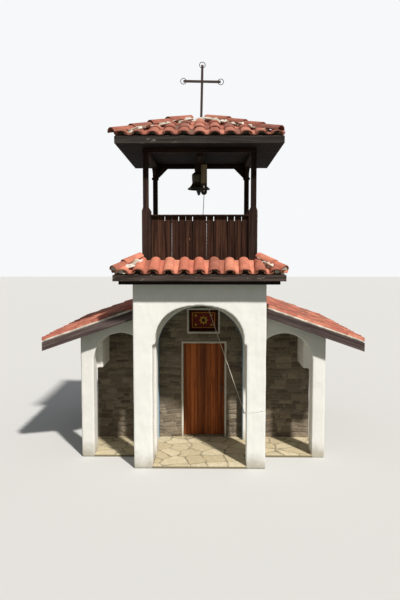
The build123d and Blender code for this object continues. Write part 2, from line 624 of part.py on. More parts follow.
def upper_roof():
    """Pyramid roof over the belfry with a cross on its cap."""
    x, y = TOWER_X, BELFRY_Y
    low = PLATE_Z + PLATE_HEIGHT
    edge_z = low + UPPER_FASCIA
    inside = UPPER_HALF - FASCIA_THICK
    save("upper_soffit", block(x - inside, x + inside, y - inside, y + inside, low, low + SOFFIT_BOARD))
    save("upper_fascia", ring(x, y, UPPER_HALF, FASCIA_THICK, low, edge_z))
    rise = UPPER_SLOPE * (inside - APEX_HALF)
    deck = hipped_skin(inside, edge_z + UPPER_SLOPE * FASCIA_THICK, APEX_HALF, rise, -ROOF_SKIN, 0)
    save("upper_deck", deck)
    outer = UPPER_HALF + TILE_OVERHANG
    tile_z = edge_z - UPPER_SLOPE * TILE_OVERHANG
    rise = UPPER_SLOPE * (outer - APEX_HALF)
    save("upper_tiles", hipped_skin(outer, tile_z, APEX_HALF, rise, 0, TILE_BED))
    apex_z = edge_z + UPPER_SLOPE * (UPPER_HALF - APEX_HALF) + TILE_BED
    cap = Pos(x, y, apex_z - CAP_SKIRT) * Cone(
        CAP_R, CAP_TOP_R, CAP_HEIGHT + CAP_SKIRT, align=(Align.CENTER, Align.CENTER, Align.MIN),
    )
    save("upper_hip_tiles", *hip_tiles(outer, tile_z, APEX_HALF, rise, cap))
    foot_z = apex_z + CAP_HEIGHT
    half_bar, half_thick = CROSS_BAR / 2, CROSS_THICK / 2
    arm = CROSS_ARM_REACH - RING_HOLE_R
    cross = block(
        CROSS_X - half_bar, CROSS_X + half_bar, y - half_thick, y + half_thick,
        foot_z, CROSS_TOP_Z - RING_HOLE_R,
    )
    cross += block(
        CROSS_X - arm, CROSS_X + arm, y - half_thick, y + half_thick,
        CROSS_ARM_Z - half_bar, CROSS_ARM_Z + half_bar,
    )
    ring_places = (
        (CROSS_X - CROSS_ARM_REACH, CROSS_ARM_Z), (CROSS_X + CROSS_ARM_REACH, CROSS_ARM_Z),
        (CROSS_X, CROSS_TOP_Z),
    )
    for cx, cz in ring_places:
        cross += Pos(cx, y, cz) * Cylinder(RING_R, CROSS_THICK, rotation=(90, 0, 0))
    for cx, cz in ring_places:
        cross -= Pos(cx, y, cz) * Cylinder(RING_HOLE_R, 2 * CROSS_THICK, rotation=(90, 0, 0))
    save("cross", cross)


def bell_group():
    """Bell under its beam, the clapper that swings in it, and the rope down to a hook on the pillar."""
    y0 = BELFRY_Y - BELFRY_HALF + POST_SET_BACK + PLATE_WIDTH
    y1 = BELFRY_Y + BELFRY_HALF - POST_SET_BACK - PLATE_WIDTH
    beam_low = PLATE_Z + PLATE_HEIGHT - BEAM_HEIGHT
    beam = block(TOWER_X - BEAM_WIDTH / 2, TOWER_X + BEAM_WIDTH / 2, y0, y1, beam_low, PLATE_Z + PLATE_HEIGHT)
    hanger_front = BELL_Y - HANGER_REACH
    beam += block(
        TOWER_X - HANGER_WIDTH / 2, TOWER_X + HANGER_WIDTH / 2,
        hanger_front, BELL_Y + HANGER_BACK, HANGER_LOW_Z, beam_low,
    )
    save("bell_beam", beam)

    crown_z = BELL_CROWN_Z - BELL_WALL
    stem_top = HANGER_LOW_Z - BELL_MOUTH_Z
    outer = Polyline((BELL_MOUTH_R, 0), (BELL_LIP_R, BELL_LIP_Z))
    outer += RadiusArc((BELL_LIP_R, BELL_LIP_Z), (BELL_WAIST_R, BELL_WAIST_Z), BELL_FLARE_R)
    outer += Line((BELL_WAIST_R, BELL_WAIST_Z), (BELL_SHOULDER_R, BELL_SHOULDER_Z))
    outer += RadiusArc(
        (BELL_SHOULDER_R, BELL_SHOULDER_Z), (BELL_CROWN_R, BELL_CROWN_Z), -BELL_SHOULDER_ROUND,
    )
    stem = Polyline(
        (BELL_CROWN_R, BELL_CROWN_Z), (BELL_STEM_R, BELL_CROWN_Z), (BELL_STEM_R, stem_top),
        (0, stem_top), (0, crown_z), (BELL_CROWN_R, crown_z),
    )
    inner = RadiusArc(
        (BELL_CROWN_R, crown_z), (BELL_SHOULDER_R - BELL_WALL, BELL_SHOULDER_Z),
        BELL_SHOULDER_ROUND - BELL_WALL,
    )
    inner += Line((BELL_SHOULDER_R - BELL_WALL, BELL_SHOULDER_Z), (BELL_WAIST_R - BELL_WALL, BELL_WAIST_Z))
    inner += RadiusArc(
        (BELL_WAIST_R - BELL_WALL, BELL_WAIST_Z), (BELL_LIP_R - BELL_WALL, BELL_LIP_Z),
        -BELL_FLARE_R - BELL_WALL,
    )
    rim = Polyline((BELL_LIP_R - BELL_WALL, BELL_LIP_Z), (BELL_MOUTH_R - BELL_WALL, 0), (BELL_MOUTH_R, 0))
    profile = make_face(outer + stem + inner + rim)
    bell = Pos(BELL_X, BELL_Y, BELL_MOUTH_Z) * revolve(Plane.XZ * profile, Axis.Z)
    ear_gap = CLAPPER_ROD_R + CLAPPER_SIDE_GAP
    for sign in (-1, 1):
        bell += block(
            BELL_X - EAR_HALF, BELL_X + EAR_HALF,
            BELL_Y + sign * ear_gap, BELL_Y + sign * (ear_gap + EAR_THICK),
            CLAPPER_PIVOT_Z - EAR_HALF, BELL_MOUTH_Z + BELL_CROWN_Z - BELL_WALL / 2,
        )
    bell += Pos(BELL_X, BELL_Y, CLAPPER_PIVOT_Z) * Cylinder(
        CLAPPER_PIN_R, 2 * (ear_gap + EAR_THICK), rotation=(90, 0, 0),
    )
    save("bell", bell)

    pivot = Pos(BELL_X, BELL_Y, CLAPPER_PIVOT_Z)
    clapper = pivot * Cylinder(CLAPPER_EYE_R, 2 * CLAPPER_ROD_R, rotation=(90, 0, 0))
    rod_length = CLAPPER_PIVOT_Z - CLAPPER_BALL_Z
    clapper += Pos(BELL_X, BELL_Y, CLAPPER_BALL_Z + rod_length / 2) * Cylinder(CLAPPER_ROD_R, rod_length)
    clapper += Pos(BELL_X, BELL_Y, CLAPPER_BALL_Z) * Sphere(CLAPPER_BALL_R)
    tail = CLAPPER_BALL_Z - CLAPPER_TIP_Z
    tail_place = Pos(BELL_X, BELL_Y, CLAPPER_BALL_Z - tail / 2)
    clapper += tail_place * Cone(CLAPPER_TAIL_R, CLAPPER_NECK_R, tail)
    clapper -= pivot * Cylinder(
        CLAPPER_PIN_R + PIN_CLEARANCE, 4 * CLAPPER_ROD_R, rotation=(90, 0, 0),
    )
    save("clapper", clapper)

    half = BLOCK_WIDTH / 2
    low = BLOCK_LOW_Z + half
    outline = make_face(
        Polyline(
            (BLOCK_X + half, low), (BLOCK_X + half, BLOCK_TOP_Z),
            (BLOCK_X - half, BLOCK_TOP_Z), (BLOCK_X - half, low),
        )
        + ThreePointArc((BLOCK_X - half, low), (BLOCK_X, BLOCK_LOW_Z), (BLOCK_X + half, low))
    )
    block_solid = slab_xz(outline, hanger_front - BLOCK_THICK, hanger_front)
    save("pulley_block", block_solid)

    pillar_face = TOWER_X + TOWER_HALF - PILLAR_WIDTH
    tip_x = pillar_face - HOOK_REACH
    hook_line = FilletPolyline(
        (pillar_face, HOOK_Y, HOOK_Z), (tip_x, HOOK_Y, HOOK_Z), (tip_x, HOOK_Y, HOOK_Z + HOOK_LIP),
        radius=HOOK_BEND_R,
    )
    hook_section = Plane(origin=hook_line @ 0, z_dir=hook_line % 0) * RegularPolygon(HOOK_ROD_R, ROD_SIDES)
    hook = sweep(hook_section, hook_line)
    save("rope_hook", hook)
    rope_line = FilletPolyline(
        (BLOCK_X, ROPE_Y, BLOCK_LOW_Z), (ROPE_HOLE_X, ROPE_Y, TOWER_TOP_Z - ROPE_TURN),
        (tip_x + HOOK_REACH / 2, HOOK_Y, HOOK_Z), radius=ROPE_BEND_R,
    )
    rope = sweep(Plane(origin=rope_line @ 0, z_dir=rope_line % 0) * Circle(ROPE_R), rope_line)
    save("bell_rope", rope - hook - block_solid)


def doorway(arch):
    """Door leaf on three pins in its frame, plaster bands round the doorway and the niche, and the
    niche's frame and panel."""
    y = NAVE_FRONT_Y
    stop = y + NIB_DEPTH
    half_leaf = DOOR_OPENING / 2 + LEAF_OVERLAP
    left, right = DOOR_X - half_leaf, DOOR_X + half_leaf
    leaf_low, leaf_top = FLOOR_TOP + LEAF_GAP, DOOR_HEAD_Z + LEAF_OVERLAP
    leaf_front = stop + LEAF_GAP
    leaf_back = leaf_front + LEAF_THICK
    save("door_leaf", block(left, right, leaf_front, leaf_back, leaf_low, leaf_top))
    frame = block(DOOR_X - REVEAL / 2, DOOR_X + REVEAL / 2, stop, leaf_back, FLOOR_TOP, REVEAL_HEAD_Z)
    frame -= block(left - LEAF_GAP, right + LEAF_GAP, stop - 1, leaf_back + 1, 0, leaf_top + LEAF_GAP)
    pin_x = left - LEAF_GAP / 2
    pin_y = leaf_back + PIN_STAND_OFF
    knuckles = []
    for z in HINGE_Z:
        frame += Pos(pin_x, pin_y, z) * Cylinder(PIN_R, PIN_LENGTH)
        for s in (-1, 1):
            middle = z + s * (PIN_LENGTH - LUG_HEIGHT) / 2
            frame += block(
                pin_x - LUG_WIDTH, pin_x, leaf_back, pin_y + PIN_R / 2,
                middle - LUG_HEIGHT / 2, middle + LUG_HEIGHT / 2,
            )
        knuckle = Pos(pin_x, pin_y, z) * Cylinder(KNUCKLE_R, KNUCKLE_LENGTH)
        knuckle += block(
            pin_x + KNUCKLE_R / 2, left + STRAP_LENGTH, leaf_back, leaf_back + STRAP_THICK,
            z - STRAP_HEIGHT / 2, z + STRAP_HEIGHT / 2,
        )
        knuckles.append(knuckle - Pos(pin_x, pin_y, z) * Cylinder(PIN_R + PIN_CLEARANCE, PIN_LENGTH))
    save("door_frame", frame)
    save("door_hinge_straps", *knuckles)
    handle_x = right - HANDLE_INSET
    handles = []
    for face, way in ((leaf_front, -1), (leaf_back, 1)):
        out = face + way * HANDLE_STAND_OFF
        line = FilletPolyline(
            (handle_x, face, HANDLE_Z + HANDLE_HEIGHT / 2), (handle_x, out, HANDLE_Z + HANDLE_HEIGHT / 2),
            (handle_x, out, HANDLE_Z - HANDLE_HEIGHT / 2), (handle_x, face, HANDLE_Z - HANDLE_HEIGHT / 2),
            radius=HANDLE_BEND_R,
        )
        start = Plane(origin=line @ 0, x_dir=(1, 0, 0), z_dir=line % 0)
        handles.append(sweep(start * Rectangle(HANDLE_WIDTH, HANDLE_THICK), line))
    save("door_handles", *handles)

    def band(x, width, z0, z1, closed):
        """Plaster band on the wall face round an opening."""
        w = width / 2
        low = z0 - SURROUND if closed else z0
        outer = block(x - w - SURROUND, x + w + SURROUND, y - SURROUND_THICK, y, low, z1 + SURROUND)
        return outer - block(x - w, x + w, y - SURROUND_THICK - 1, y + 1, z0 - (0 if closed else 1), z1)

    save("door_surround", band(DOOR_X, DOOR_OPENING, FLOOR_TOP, DOOR_HEAD_Z, False))
    save("niche_surround", band(NICHE_X, NICHE_WIDTH, NICHE_LOW_Z, NICHE_TOP_Z, True) - arch)
    w = NICHE_WIDTH / 2
    back = y + NICHE_DEPTH
    save("niche_panel", block(NICHE_X - w, NICHE_X + w, back - NICHE_BOARD, back, NICHE_LOW_Z, NICHE_TOP_Z))
    front = y + NICHE_FRAME_INSET
    frame = block(NICHE_X - w, NICHE_X + w, front, back - NICHE_BOARD, NICHE_LOW_Z, NICHE_TOP_Z)
    frame -= block(
        NICHE_X - w + NICHE_FRAME, NICHE_X + w - NICHE_FRAME, front - 1, back,
        NICHE_LOW_Z + NICHE_FRAME, NICHE_TOP_Z - NICHE_FRAME,
    )
    save("niche_frame", frame)


walls()
rear_arch = tower()
porch()
gable_roof()
skirt()
belfry()
upper_roof()
bell_group()
doorway(rear_arch)
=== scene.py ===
# %% [markdown]
# # A small hill chapel with a bell tower
#
# The chapel is a white plastered tower on two pillars, a porch with an arch on each side of it, a nave
# of rubble stone behind, barrel-tiled roofs and an open timber belfry. The measured model gives every
# place and size here. What this lesson adds is what a mason, a tiler and a joiner add: stones, tiles,
# boards, plaster that was laid by hand, and the weather of many years.
#
# The work goes in this order: the model, tools for node graphs, the camera and the stage, the finishes,
# the bell rope, and then the pieces from the roofs down to the floor, the door and the ironwork.

# %% Load the measured model
import json
import math

import bmesh
import bpy
import numpy as np
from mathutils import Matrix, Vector

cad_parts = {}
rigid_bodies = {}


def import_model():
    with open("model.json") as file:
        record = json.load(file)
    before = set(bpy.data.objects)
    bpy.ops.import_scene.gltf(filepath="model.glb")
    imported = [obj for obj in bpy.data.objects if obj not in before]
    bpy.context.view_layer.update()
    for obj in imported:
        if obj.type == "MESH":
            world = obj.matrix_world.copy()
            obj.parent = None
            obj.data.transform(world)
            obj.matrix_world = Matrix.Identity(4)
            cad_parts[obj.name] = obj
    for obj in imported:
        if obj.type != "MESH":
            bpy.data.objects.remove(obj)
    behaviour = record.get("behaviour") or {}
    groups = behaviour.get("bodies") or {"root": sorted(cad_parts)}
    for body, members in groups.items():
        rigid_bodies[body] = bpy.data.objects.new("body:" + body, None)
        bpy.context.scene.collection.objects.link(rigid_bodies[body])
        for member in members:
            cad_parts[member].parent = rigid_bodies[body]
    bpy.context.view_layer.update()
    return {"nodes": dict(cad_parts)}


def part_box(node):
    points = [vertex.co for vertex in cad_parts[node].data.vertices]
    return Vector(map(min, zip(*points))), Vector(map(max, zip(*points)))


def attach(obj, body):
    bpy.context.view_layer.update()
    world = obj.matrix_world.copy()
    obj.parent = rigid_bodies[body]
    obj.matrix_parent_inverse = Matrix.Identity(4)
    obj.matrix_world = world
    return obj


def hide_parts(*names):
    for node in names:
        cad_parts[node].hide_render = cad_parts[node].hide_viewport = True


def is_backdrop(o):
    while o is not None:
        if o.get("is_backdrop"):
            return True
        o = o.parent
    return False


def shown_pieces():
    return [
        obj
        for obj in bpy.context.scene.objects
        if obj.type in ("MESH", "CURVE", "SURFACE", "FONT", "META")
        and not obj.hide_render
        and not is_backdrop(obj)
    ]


for leftover in list(bpy.data.objects):
    bpy.data.objects.remove(leftover)
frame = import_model()
NODES = frame["nodes"]

# %% [markdown]
# ## Reading sizes from the model
#
# A piece goes where the measured model says. Reading the corners of a node's box is the simplest way to
# get there, and it keeps this script right if the model changes. Numpy arrays make the sums short.

# %% Corners of a node
def corners(node):
    """Lowest and highest corner of one node of the measured model, as two arrays of x, y, z."""
    low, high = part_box(node)
    return np.array(low), np.array(high)


def add_object(name, data):
    """A new object at the origin that shows a camera, a lamp, a curve or a mesh."""
    made = bpy.data.objects.new(name, data)
    bpy.context.scene.collection.objects.link(made)
    return made


PILLARS = corners("tower_pillars")
TOWER_X = (PILLARS[0][0] + PILLARS[1][0]) / 2
TOWER_HALF = (PILLARS[1][0] - PILLARS[0][0]) / 2
PILLAR_WIDTH = 0.345
FRONT_Y = PILLARS[0][1]
print("tower middle", round(float(TOWER_X), 3), "front face", round(float(FRONT_Y), 3))

# %% [markdown]
# ## Node graphs in few words
#
# A finish is a graph of shader nodes. It could be wired by hand in the shader editor, or written out
# node by node. Written out in full, each graph would hide its idea under wiring, so a small helper adds
# a node, sets its fields and plugs its inputs in one call: a number or a colour is set on the socket,
# and the output of another node is linked to it.

# %% Helpers for node graphs
def plug(tree, socket, value):
    """Link a socket to another node's output, or set it to a plain value."""
    if isinstance(value, bpy.types.NodeSocket):
        tree.links.new(value, socket)
    else:
        socket.default_value = value


def add_node(tree, kind, inputs=None, **fields):
    """Add a node of that kind; fields are set on it, inputs are values or outputs of other nodes."""
    made = tree.nodes.new(kind)
    for field, value in fields.items():
        setattr(made, field, value)
    for name, value in (inputs or {}).items():
        plug(tree, made.inputs[name], value)
    return made


def maths(tree, operation, first, second=0.5, third=0.5):
    """One sum on values or outputs; returns its output."""
    return add_node(tree, "ShaderNodeMath", {0: first, 1: second, 2: third}, operation=operation).outputs[0]


def noise(tree, place, scale, detail=4.0, rough=0.55, twist=0.0):
    """A cloud of soft noise from 0 to 1 over a place; returns its output."""
    inputs = {"Vector": place, "Scale": scale, "Detail": detail, "Roughness": rough, "Distortion": twist}
    return add_node(tree, "ShaderNodeTexNoise", inputs).outputs["Fac"]


def ramp(tree, value, low, high, to_low=0.0, to_high=1.0):
    """A smooth step: below low it gives to_low, above high it gives to_high."""
    inputs = {"Value": value, "From Min": low, "From Max": high, "To Min": to_low, "To Max": to_high}
    return add_node(tree, "ShaderNodeMapRange", inputs, interpolation_type="SMOOTHSTEP").outputs["Result"]


def stretched(tree, place, scales):
    """The place with its three axes scaled apart, for grain and streaks."""
    return add_node(tree, "ShaderNodeMapping", {"Vector": place, "Scale": scales}).outputs["Vector"]


def axes_of(tree, vector):
    """The outputs X, Y and Z of a vector."""
    return add_node(tree, "ShaderNodeSeparateXYZ", {0: vector}).outputs


print("node helpers ready")

# %% Helpers for colours
def rgb(red, green, blue):
    """A colour as it looks on a screen, 0 to 255, turned into the linear light that shaders use."""
    screen = np.array([red, green, blue]) / 255.0
    linear = np.where(screen <= 0.04045, screen / 12.92, ((screen + 0.055) / 1.055) ** 2.4)
    return (float(linear[0]), float(linear[1]), float(linear[2]), 1.0)


def dark_of(colour, share):
    """The colour at a share of its light."""
    return (colour[0] * share, colour[1] * share, colour[2] * share, 1.0)


def blend(tree, factor, first, second, how="MIX"):
    """Mix two colours by a factor; returns the colour."""
    inputs = {0: factor, 6: first, 7: second}
    return add_node(tree, "ShaderNodeMix", inputs, data_type="RGBA", blend_type=how).outputs[2]


def shade(tree, colour, value):
    """The colour multiplied by a value that changes over the surface."""
    grey = add_node(tree, "ShaderNodeCombineColor", {"Red": value, "Green": value, "Blue": value})
    return blend(tree, 1.0, colour, grey.outputs["Color"], "MULTIPLY")


def stain(tree, colour, mask, share, tint):
    """A tint laid over the colour where the mask is 1, at a share of its full strength."""
    return blend(tree, maths(tree, "MULTIPLY", mask, share), colour, tint)


def new_finish(name):
    """A material with an empty Principled shader; returns the material, its tree and the shader."""
    material = bpy.data.materials.new(name)
    material.use_nodes = True
    return material, material.node_tree, material.node_tree.nodes["Principled BSDF"]


print("colour helpers ready")

# %% [markdown]
# ## Camera, sun and floor
#
# The photograph looks at the front from a little to the right, 12.5 m from the middle of the building
# and at about the height of the belfry floor. A wide lens on a tall picture shows it all. The sun stands
# to the right and half high, so the arches throw their shadows to the left and back. One wide sun lamp
# does that, and an even pale sky fills the shadows. The sky and the floor are stage, not chapel. What
# the camera and mirrors see of them is pale, but they light the chapel less: the light path tells the
# two apart.

# %% Camera
CAMERA_PLACE = (0.087, -12.532, 3.89)
CAMERA_LENS = 34.8
CAMERA_TILT_DOWN = 4.47
CAMERA_TURN_LEFT = 0.74

camera_data = bpy.data.cameras.new("photo_camera")
camera_data.lens = CAMERA_LENS
camera_data.sensor_width = 36.0
camera = add_object("photo_camera", camera_data)
camera.location = CAMERA_PLACE
camera.rotation_euler = (math.radians(90.0 - CAMERA_TILT_DOWN), 0.0, math.radians(CAMERA_TURN_LEFT))
bpy.context.scene.camera = camera
bpy.context.scene.view_settings.view_transform = "Standard"
print("camera at", CAMERA_PLACE)

# %% Sun and sky
SUN_FROM = (0.346, -0.586, 0.732)
SUN_STRENGTH = 4.3
SUN_SOFTNESS = 3.0
SUN_COLOUR = (1.0, 0.965, 0.91)
SKY_FILL = 0.22
SKY_COLOUR = (0.93, 0.96, 1.0, 1.0)
BACKDROP_COLOUR = (0.93, 0.94, 0.95, 1.0)

sun_data = bpy.data.lights.new("sun", "SUN")
sun_data.energy = SUN_STRENGTH
sun_data.angle = math.radians(SUN_SOFTNESS)
sun_data.color = SUN_COLOUR
sun = add_object("sun", sun_data)
sun.rotation_euler = Vector(SUN_FROM).to_track_quat("Z", "Y").to_euler()


def seen_directly(tree):
    """1 for rays from the camera or from a mirror, 0 for the light that falls on things."""
    ray = tree.nodes.new("ShaderNodeLightPath").outputs
    return maths(tree, "MAXIMUM", ray["Is Camera Ray"], ray["Is Glossy Ray"])


world = bpy.data.worlds.new("pale_sky")
bpy.context.scene.world = world
world.use_nodes = True
sky = world.node_tree
sky.nodes.clear()
fill = add_node(sky, "ShaderNodeBackground", {"Color": SKY_COLOUR, "Strength": SKY_FILL})
backdrop = add_node(sky, "ShaderNodeBackground", {"Color": BACKDROP_COLOUR, "Strength": 1.0})
either = add_node(sky, "ShaderNodeMixShader",
                  {0: seen_directly(sky), 1: fill.outputs["Background"], 2: backdrop.outputs["Background"]})
add_node(sky, "ShaderNodeOutputWorld", {"Surface": either.outputs["Shader"]})
print("sun strength", SUN_STRENGTH, "sky fill", SKY_FILL)

# %% Floor of the stage
FLOOR_REACH = 90.0
FLOOR_COLOUR = (0.64, 0.64, 0.63, 1.0)
BOUNCE_COLOUR = (0.17, 0.18, 0.14, 1.0)

floor_mesh = bpy.data.meshes.new("stage_floor")
floor_corners = [(x * FLOOR_REACH, y * FLOOR_REACH, 0.0) for x, y in ((-1, -1), (1, -1), (1, 1), (-1, 1))]
floor_mesh.from_pydata(floor_corners, [], [(0, 1, 2, 3)])
floor = add_object("stage_floor", floor_mesh)
floor_finish, floor_tree, floor_shader = new_finish("stage_floor")
floor_shader.inputs["Roughness"].default_value = 0.9
floor_tone = blend(floor_tree, seen_directly(floor_tree), BOUNCE_COLOUR, FLOOR_COLOUR)
plug(floor_tree, floor_shader.inputs["Base Color"], floor_tone)
floor_mesh.materials.append(floor_finish)
floor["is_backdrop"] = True
print("floor laid")

# %% [markdown]
# ## Effects that many finishes share
#
# Timber, plaster, stone and tiles all carry a few of the same effects: grain along a board, spots of
# lichen, grime that climbs from the ground, and the fine tooth of an unpolished surface. Each effect is
# one node group with named sockets, built once and placed in each finish with its own values. Copying
# the nodes into each finish would work too, but then a change has to be made many times.

# %% Node group: grain of sawn timber
def new_group(name, inputs, outputs):
    """An empty shader group with those sockets; returns the group, its inputs and its output node."""
    group = bpy.data.node_groups.new(name, "ShaderNodeTree")
    for label, kind, value in inputs:
        socket = group.interface.new_socket(label, in_out="INPUT", socket_type="NodeSocket" + kind)
        if value is not None:
            socket.default_value = value
    for label in outputs:
        group.interface.new_socket(label, in_out="OUTPUT", socket_type="NodeSocketFloat")
    return group, group.nodes.new("NodeGroupInput").outputs, group.nodes.new("NodeGroupOutput")


def close_group(group, end, **results):
    """Link the results to the group's output sockets of the same names."""
    for label, value in results.items():
        group.links.new(value, end.inputs[label])
    print("group:", group.name)


grain_group, given, end = new_group(
    "timber_grain", [("Place", "Vector", None), ("Ring Scale", "Float", 26.0)], ["Rings", "Fibre", "Height"])
ring_place = stretched(grain_group, given["Place"], (0.035, 1.0, 1.0))
fibre_place = stretched(grain_group, given["Place"], (0.02, 1.0, 1.0))
rings = noise(grain_group, ring_place, given["Ring Scale"], 3.0, 0.6, 0.6)
fibre = noise(grain_group, fibre_place, 420.0, 2.0, 0.6)
height = maths(grain_group, "MULTIPLY_ADD", rings, 0.6, maths(grain_group, "MULTIPLY", fibre, 0.4))
close_group(grain_group, end, Rings=rings, Fibre=fibre, Height=height)

# %% Node group: lichen and flaking in spots
spots_group, given, end = new_group(
    "weather_spots", [("Place", "Vector", None), ("Scale", "Float", 14.0), ("Cover", "Float", 0.3)], ["Mask"])
cloud = noise(spots_group, given["Place"], given["Scale"], 6.0, 0.68, 0.3)
edge = maths(spots_group, "SUBTRACT", 0.78, maths(spots_group, "MULTIPLY", given["Cover"], 0.5))
flaked = maths(spots_group, "SUBTRACT", cloud, edge)
close_group(spots_group, end, Mask=ramp(spots_group, flaked, -0.02, 0.06))


def spots(tree, place, scale, cover):
    """The mask of the spots group, placed in a finish with its own scale and cover."""
    inputs = {"Place": place, "Scale": scale, "Cover": cover}
    return add_node(tree, "ShaderNodeGroup", inputs, node_tree=spots_group).outputs["Mask"]


# %% Node group: grime near the ground and rain streaks under the eaves
grime_group, given, end = new_group(
    "foot_grime", [("Place", "Vector", None), ("Rise", "Float", 0.35)], ["Mask", "Streaks"])
ragged = noise(grime_group, given["Place"], 5.0, 5.0, 0.6)
share = maths(grime_group, "DIVIDE", axes_of(grime_group, given["Place"])["Z"], given["Rise"])
lifted = maths(grime_group, "ADD", share, maths(grime_group, "MULTIPLY", ragged, -1.2))
rain = noise(grime_group, stretched(grime_group, given["Place"], (9.0, 9.0, 0.5)), 1.0, 4.0, 0.6)
close_group(grime_group, end, Mask=ramp(grime_group, lifted, -0.55, 0.45, 1.0, 0.0),
            Streaks=ramp(grime_group, rain, 0.52, 0.78))

# %% [markdown]
# ## Finishes
#
# Each finish mixes two or three colours by noise at the scale of the real thing: a board's growth rings
# are a few millimetres apart, a patch of lichen is as wide as a hand. Photographs of the surfaces could
# do this too, but noise has no seams and fits a piece of any size. Colours are written as they look on a
# screen. The relief of each surface goes through one Bump node, in metres.

# %% A finish from colour, roughness and height
def object_place(tree):
    """Points of the piece in metres, the same for every piece because each sits at the origin."""
    return tree.nodes.new("ShaderNodeTexCoord").outputs["Object"]


def attribute(tree, name, kind="Fac"):
    """A value or vector that the mesh itself carries."""
    return add_node(tree, "ShaderNodeAttribute", attribute_name=name).outputs[kind]


def dress(tree, shader, colour, rough, height, depth, shine=0.15):
    """Plug colour, roughness and a height map with its depth in metres into the shader.

    shine is the strength of the gloss: 0.5 is varnish, and open, weathered grain has far less.
    """
    bump = add_node(tree, "ShaderNodeBump", {"Strength": 1.0, "Distance": depth, "Height": height})
    for socket, value in (("Base Color", colour), ("Roughness", rough), ("Specular IOR Level", shine),
                          ("Normal", bump.outputs["Normal"])):
        plug(tree, shader.inputs[socket], value)


print("finish helpers ready")

# %% [markdown]
# ## Timber
#
# Weathered softwood shows dark growth rings, fine fibres along the board, grey patches where rain gets
# at it, and no two boards have one tone. The mesh carries a grain vector that runs along each board, so
# one finish follows every board, whichever way it lies. The door's pine also has knots: the dark middles
# of Voronoi cells, with a halo round each.

# %% Timber finishes
def timber(name, dark, light, grey, grey_cover, rough=0.85, depth=0.0012, ring_scale=26.0, knots=0.0,
           shine=0.06):
    """Sawn boards: rings and fibres along the board, one tone for each board, and grey weathering."""
    material, tree, shader = new_finish(name)
    place = attribute(tree, "grain", "Vector")
    grain = add_node(tree, "ShaderNodeGroup", {"Place": place, "Ring Scale": ring_scale},
                     node_tree=grain_group).outputs
    wood = blend(tree, ramp(tree, grain["Rings"], 0.34, 0.66), dark, light)
    wood = shade(tree, wood, ramp(tree, grain["Fibre"], 0.35, 0.7, 0.72, 1.08))
    wood = shade(tree, wood, maths(tree, "MULTIPLY_ADD", attribute(tree, "tone"), 0.55, 0.72))
    wood = blend(tree, spots(tree, stretched(tree, place, (0.3, 1.0, 1.0)), 9.0, grey_cover), wood, grey)
    if knots:
        cells = add_node(tree, "ShaderNodeTexVoronoi", {
            "Vector": stretched(tree, place, (0.45, 1.0, 0.2)), "Scale": knots, "Randomness": 1.0})
        near = maths(tree, "ADD", cells.outputs["Distance"], maths(tree, "MULTIPLY", grain["Rings"], 0.10))
        wood = blend(tree, ramp(tree, near, 0.10, 0.17, 0.85, 0.0), wood, dark_of(dark, 0.35))
        wood = blend(tree, ramp(tree, near, 0.15, 0.30, 0.45, 0.0), wood, dark_of(dark, 0.7))
    dress(tree, shader, wood, rough, grain["Height"], depth, shine)
    return material


belfry_wood = timber("belfry_timber", rgb(36, 26, 23), rgb(62, 46, 39), rgb(88, 76, 70), 0.14)
parapet_wood = timber("parapet_timber", rgb(40, 26, 21), rgb(80, 54, 42), rgb(170, 124, 92), 0.18)
eave_wood = timber("eave_timber", rgb(40, 35, 33), rgb(66, 60, 57), rgb(118, 112, 108), 0.24)
roof_wood = timber("roof_timber", rgb(58, 48, 44), rgb(98, 86, 80), rgb(146, 138, 130), 0.30)
barge_wood = timber("barge_timber", rgb(68, 57, 56), rgb(106, 92, 90), rgb(138, 128, 124), 0.22)
# The soffit timber is a dark stain made darker still by painted shade: the deep shade under the eaves.
painted_shade_soffit_wood = timber("painted_shade_soffit_timber", rgb(24, 19, 17), rgb(42, 34, 30), rgb(56, 48, 44), 0.15)
block_wood = timber("light_timber", rgb(120, 98, 78), rgb(170, 148, 122), rgb(160, 150, 140), 0.30)
door_wood = timber("door_timber", rgb(126, 62, 26), rgb(196, 110, 56), rgb(112, 58, 30), 0.06,
                   0.55, 0.0006, 14.0, 3.2, 0.2)
frame_wood = timber("door_frame_timber", rgb(96, 54, 30), rgb(140, 86, 52), rgb(110, 84, 66), 0.1)
niche_wood = timber("dark_timber", rgb(44, 24, 17), rgb(80, 46, 32), rgb(64, 46, 38), 0.1)
print("timber finishes:", len([m for m in bpy.data.materials if "timber" in m.name]))

# %% [markdown]
# ## Lime plaster
#
# The walls are brushed with limewash year after year: nearly white, a little mottled, streaked by rain
# and splashed with earth at the foot. The inner faces of the tower's rear arch carry painted shade: the
# blue that white plaster takes in shade under the sky. A hair crack crosses the right pillar. Both
# could be pieces of mesh, but painted shade and a crack have no thickness worth modelling, so masks
# worked out from the place on the wall draw them.

# %% Masks on the tower's coat
REAR_ARCH = corners("tower_rear_arch")
REVEAL_HALF = 0.882
# Painted shade: the blue of white plaster in sky-lit shade, laid on the rear arch's inner faces.
PAINTED_SHADE_BLUE = rgb(136, 176, 206)
CRACK_START = (0.80, 1.02)
CRACK_RISE = 0.16
CRACK_HALF = 0.0035
CRACK_COLOUR = rgb(120, 108, 96)


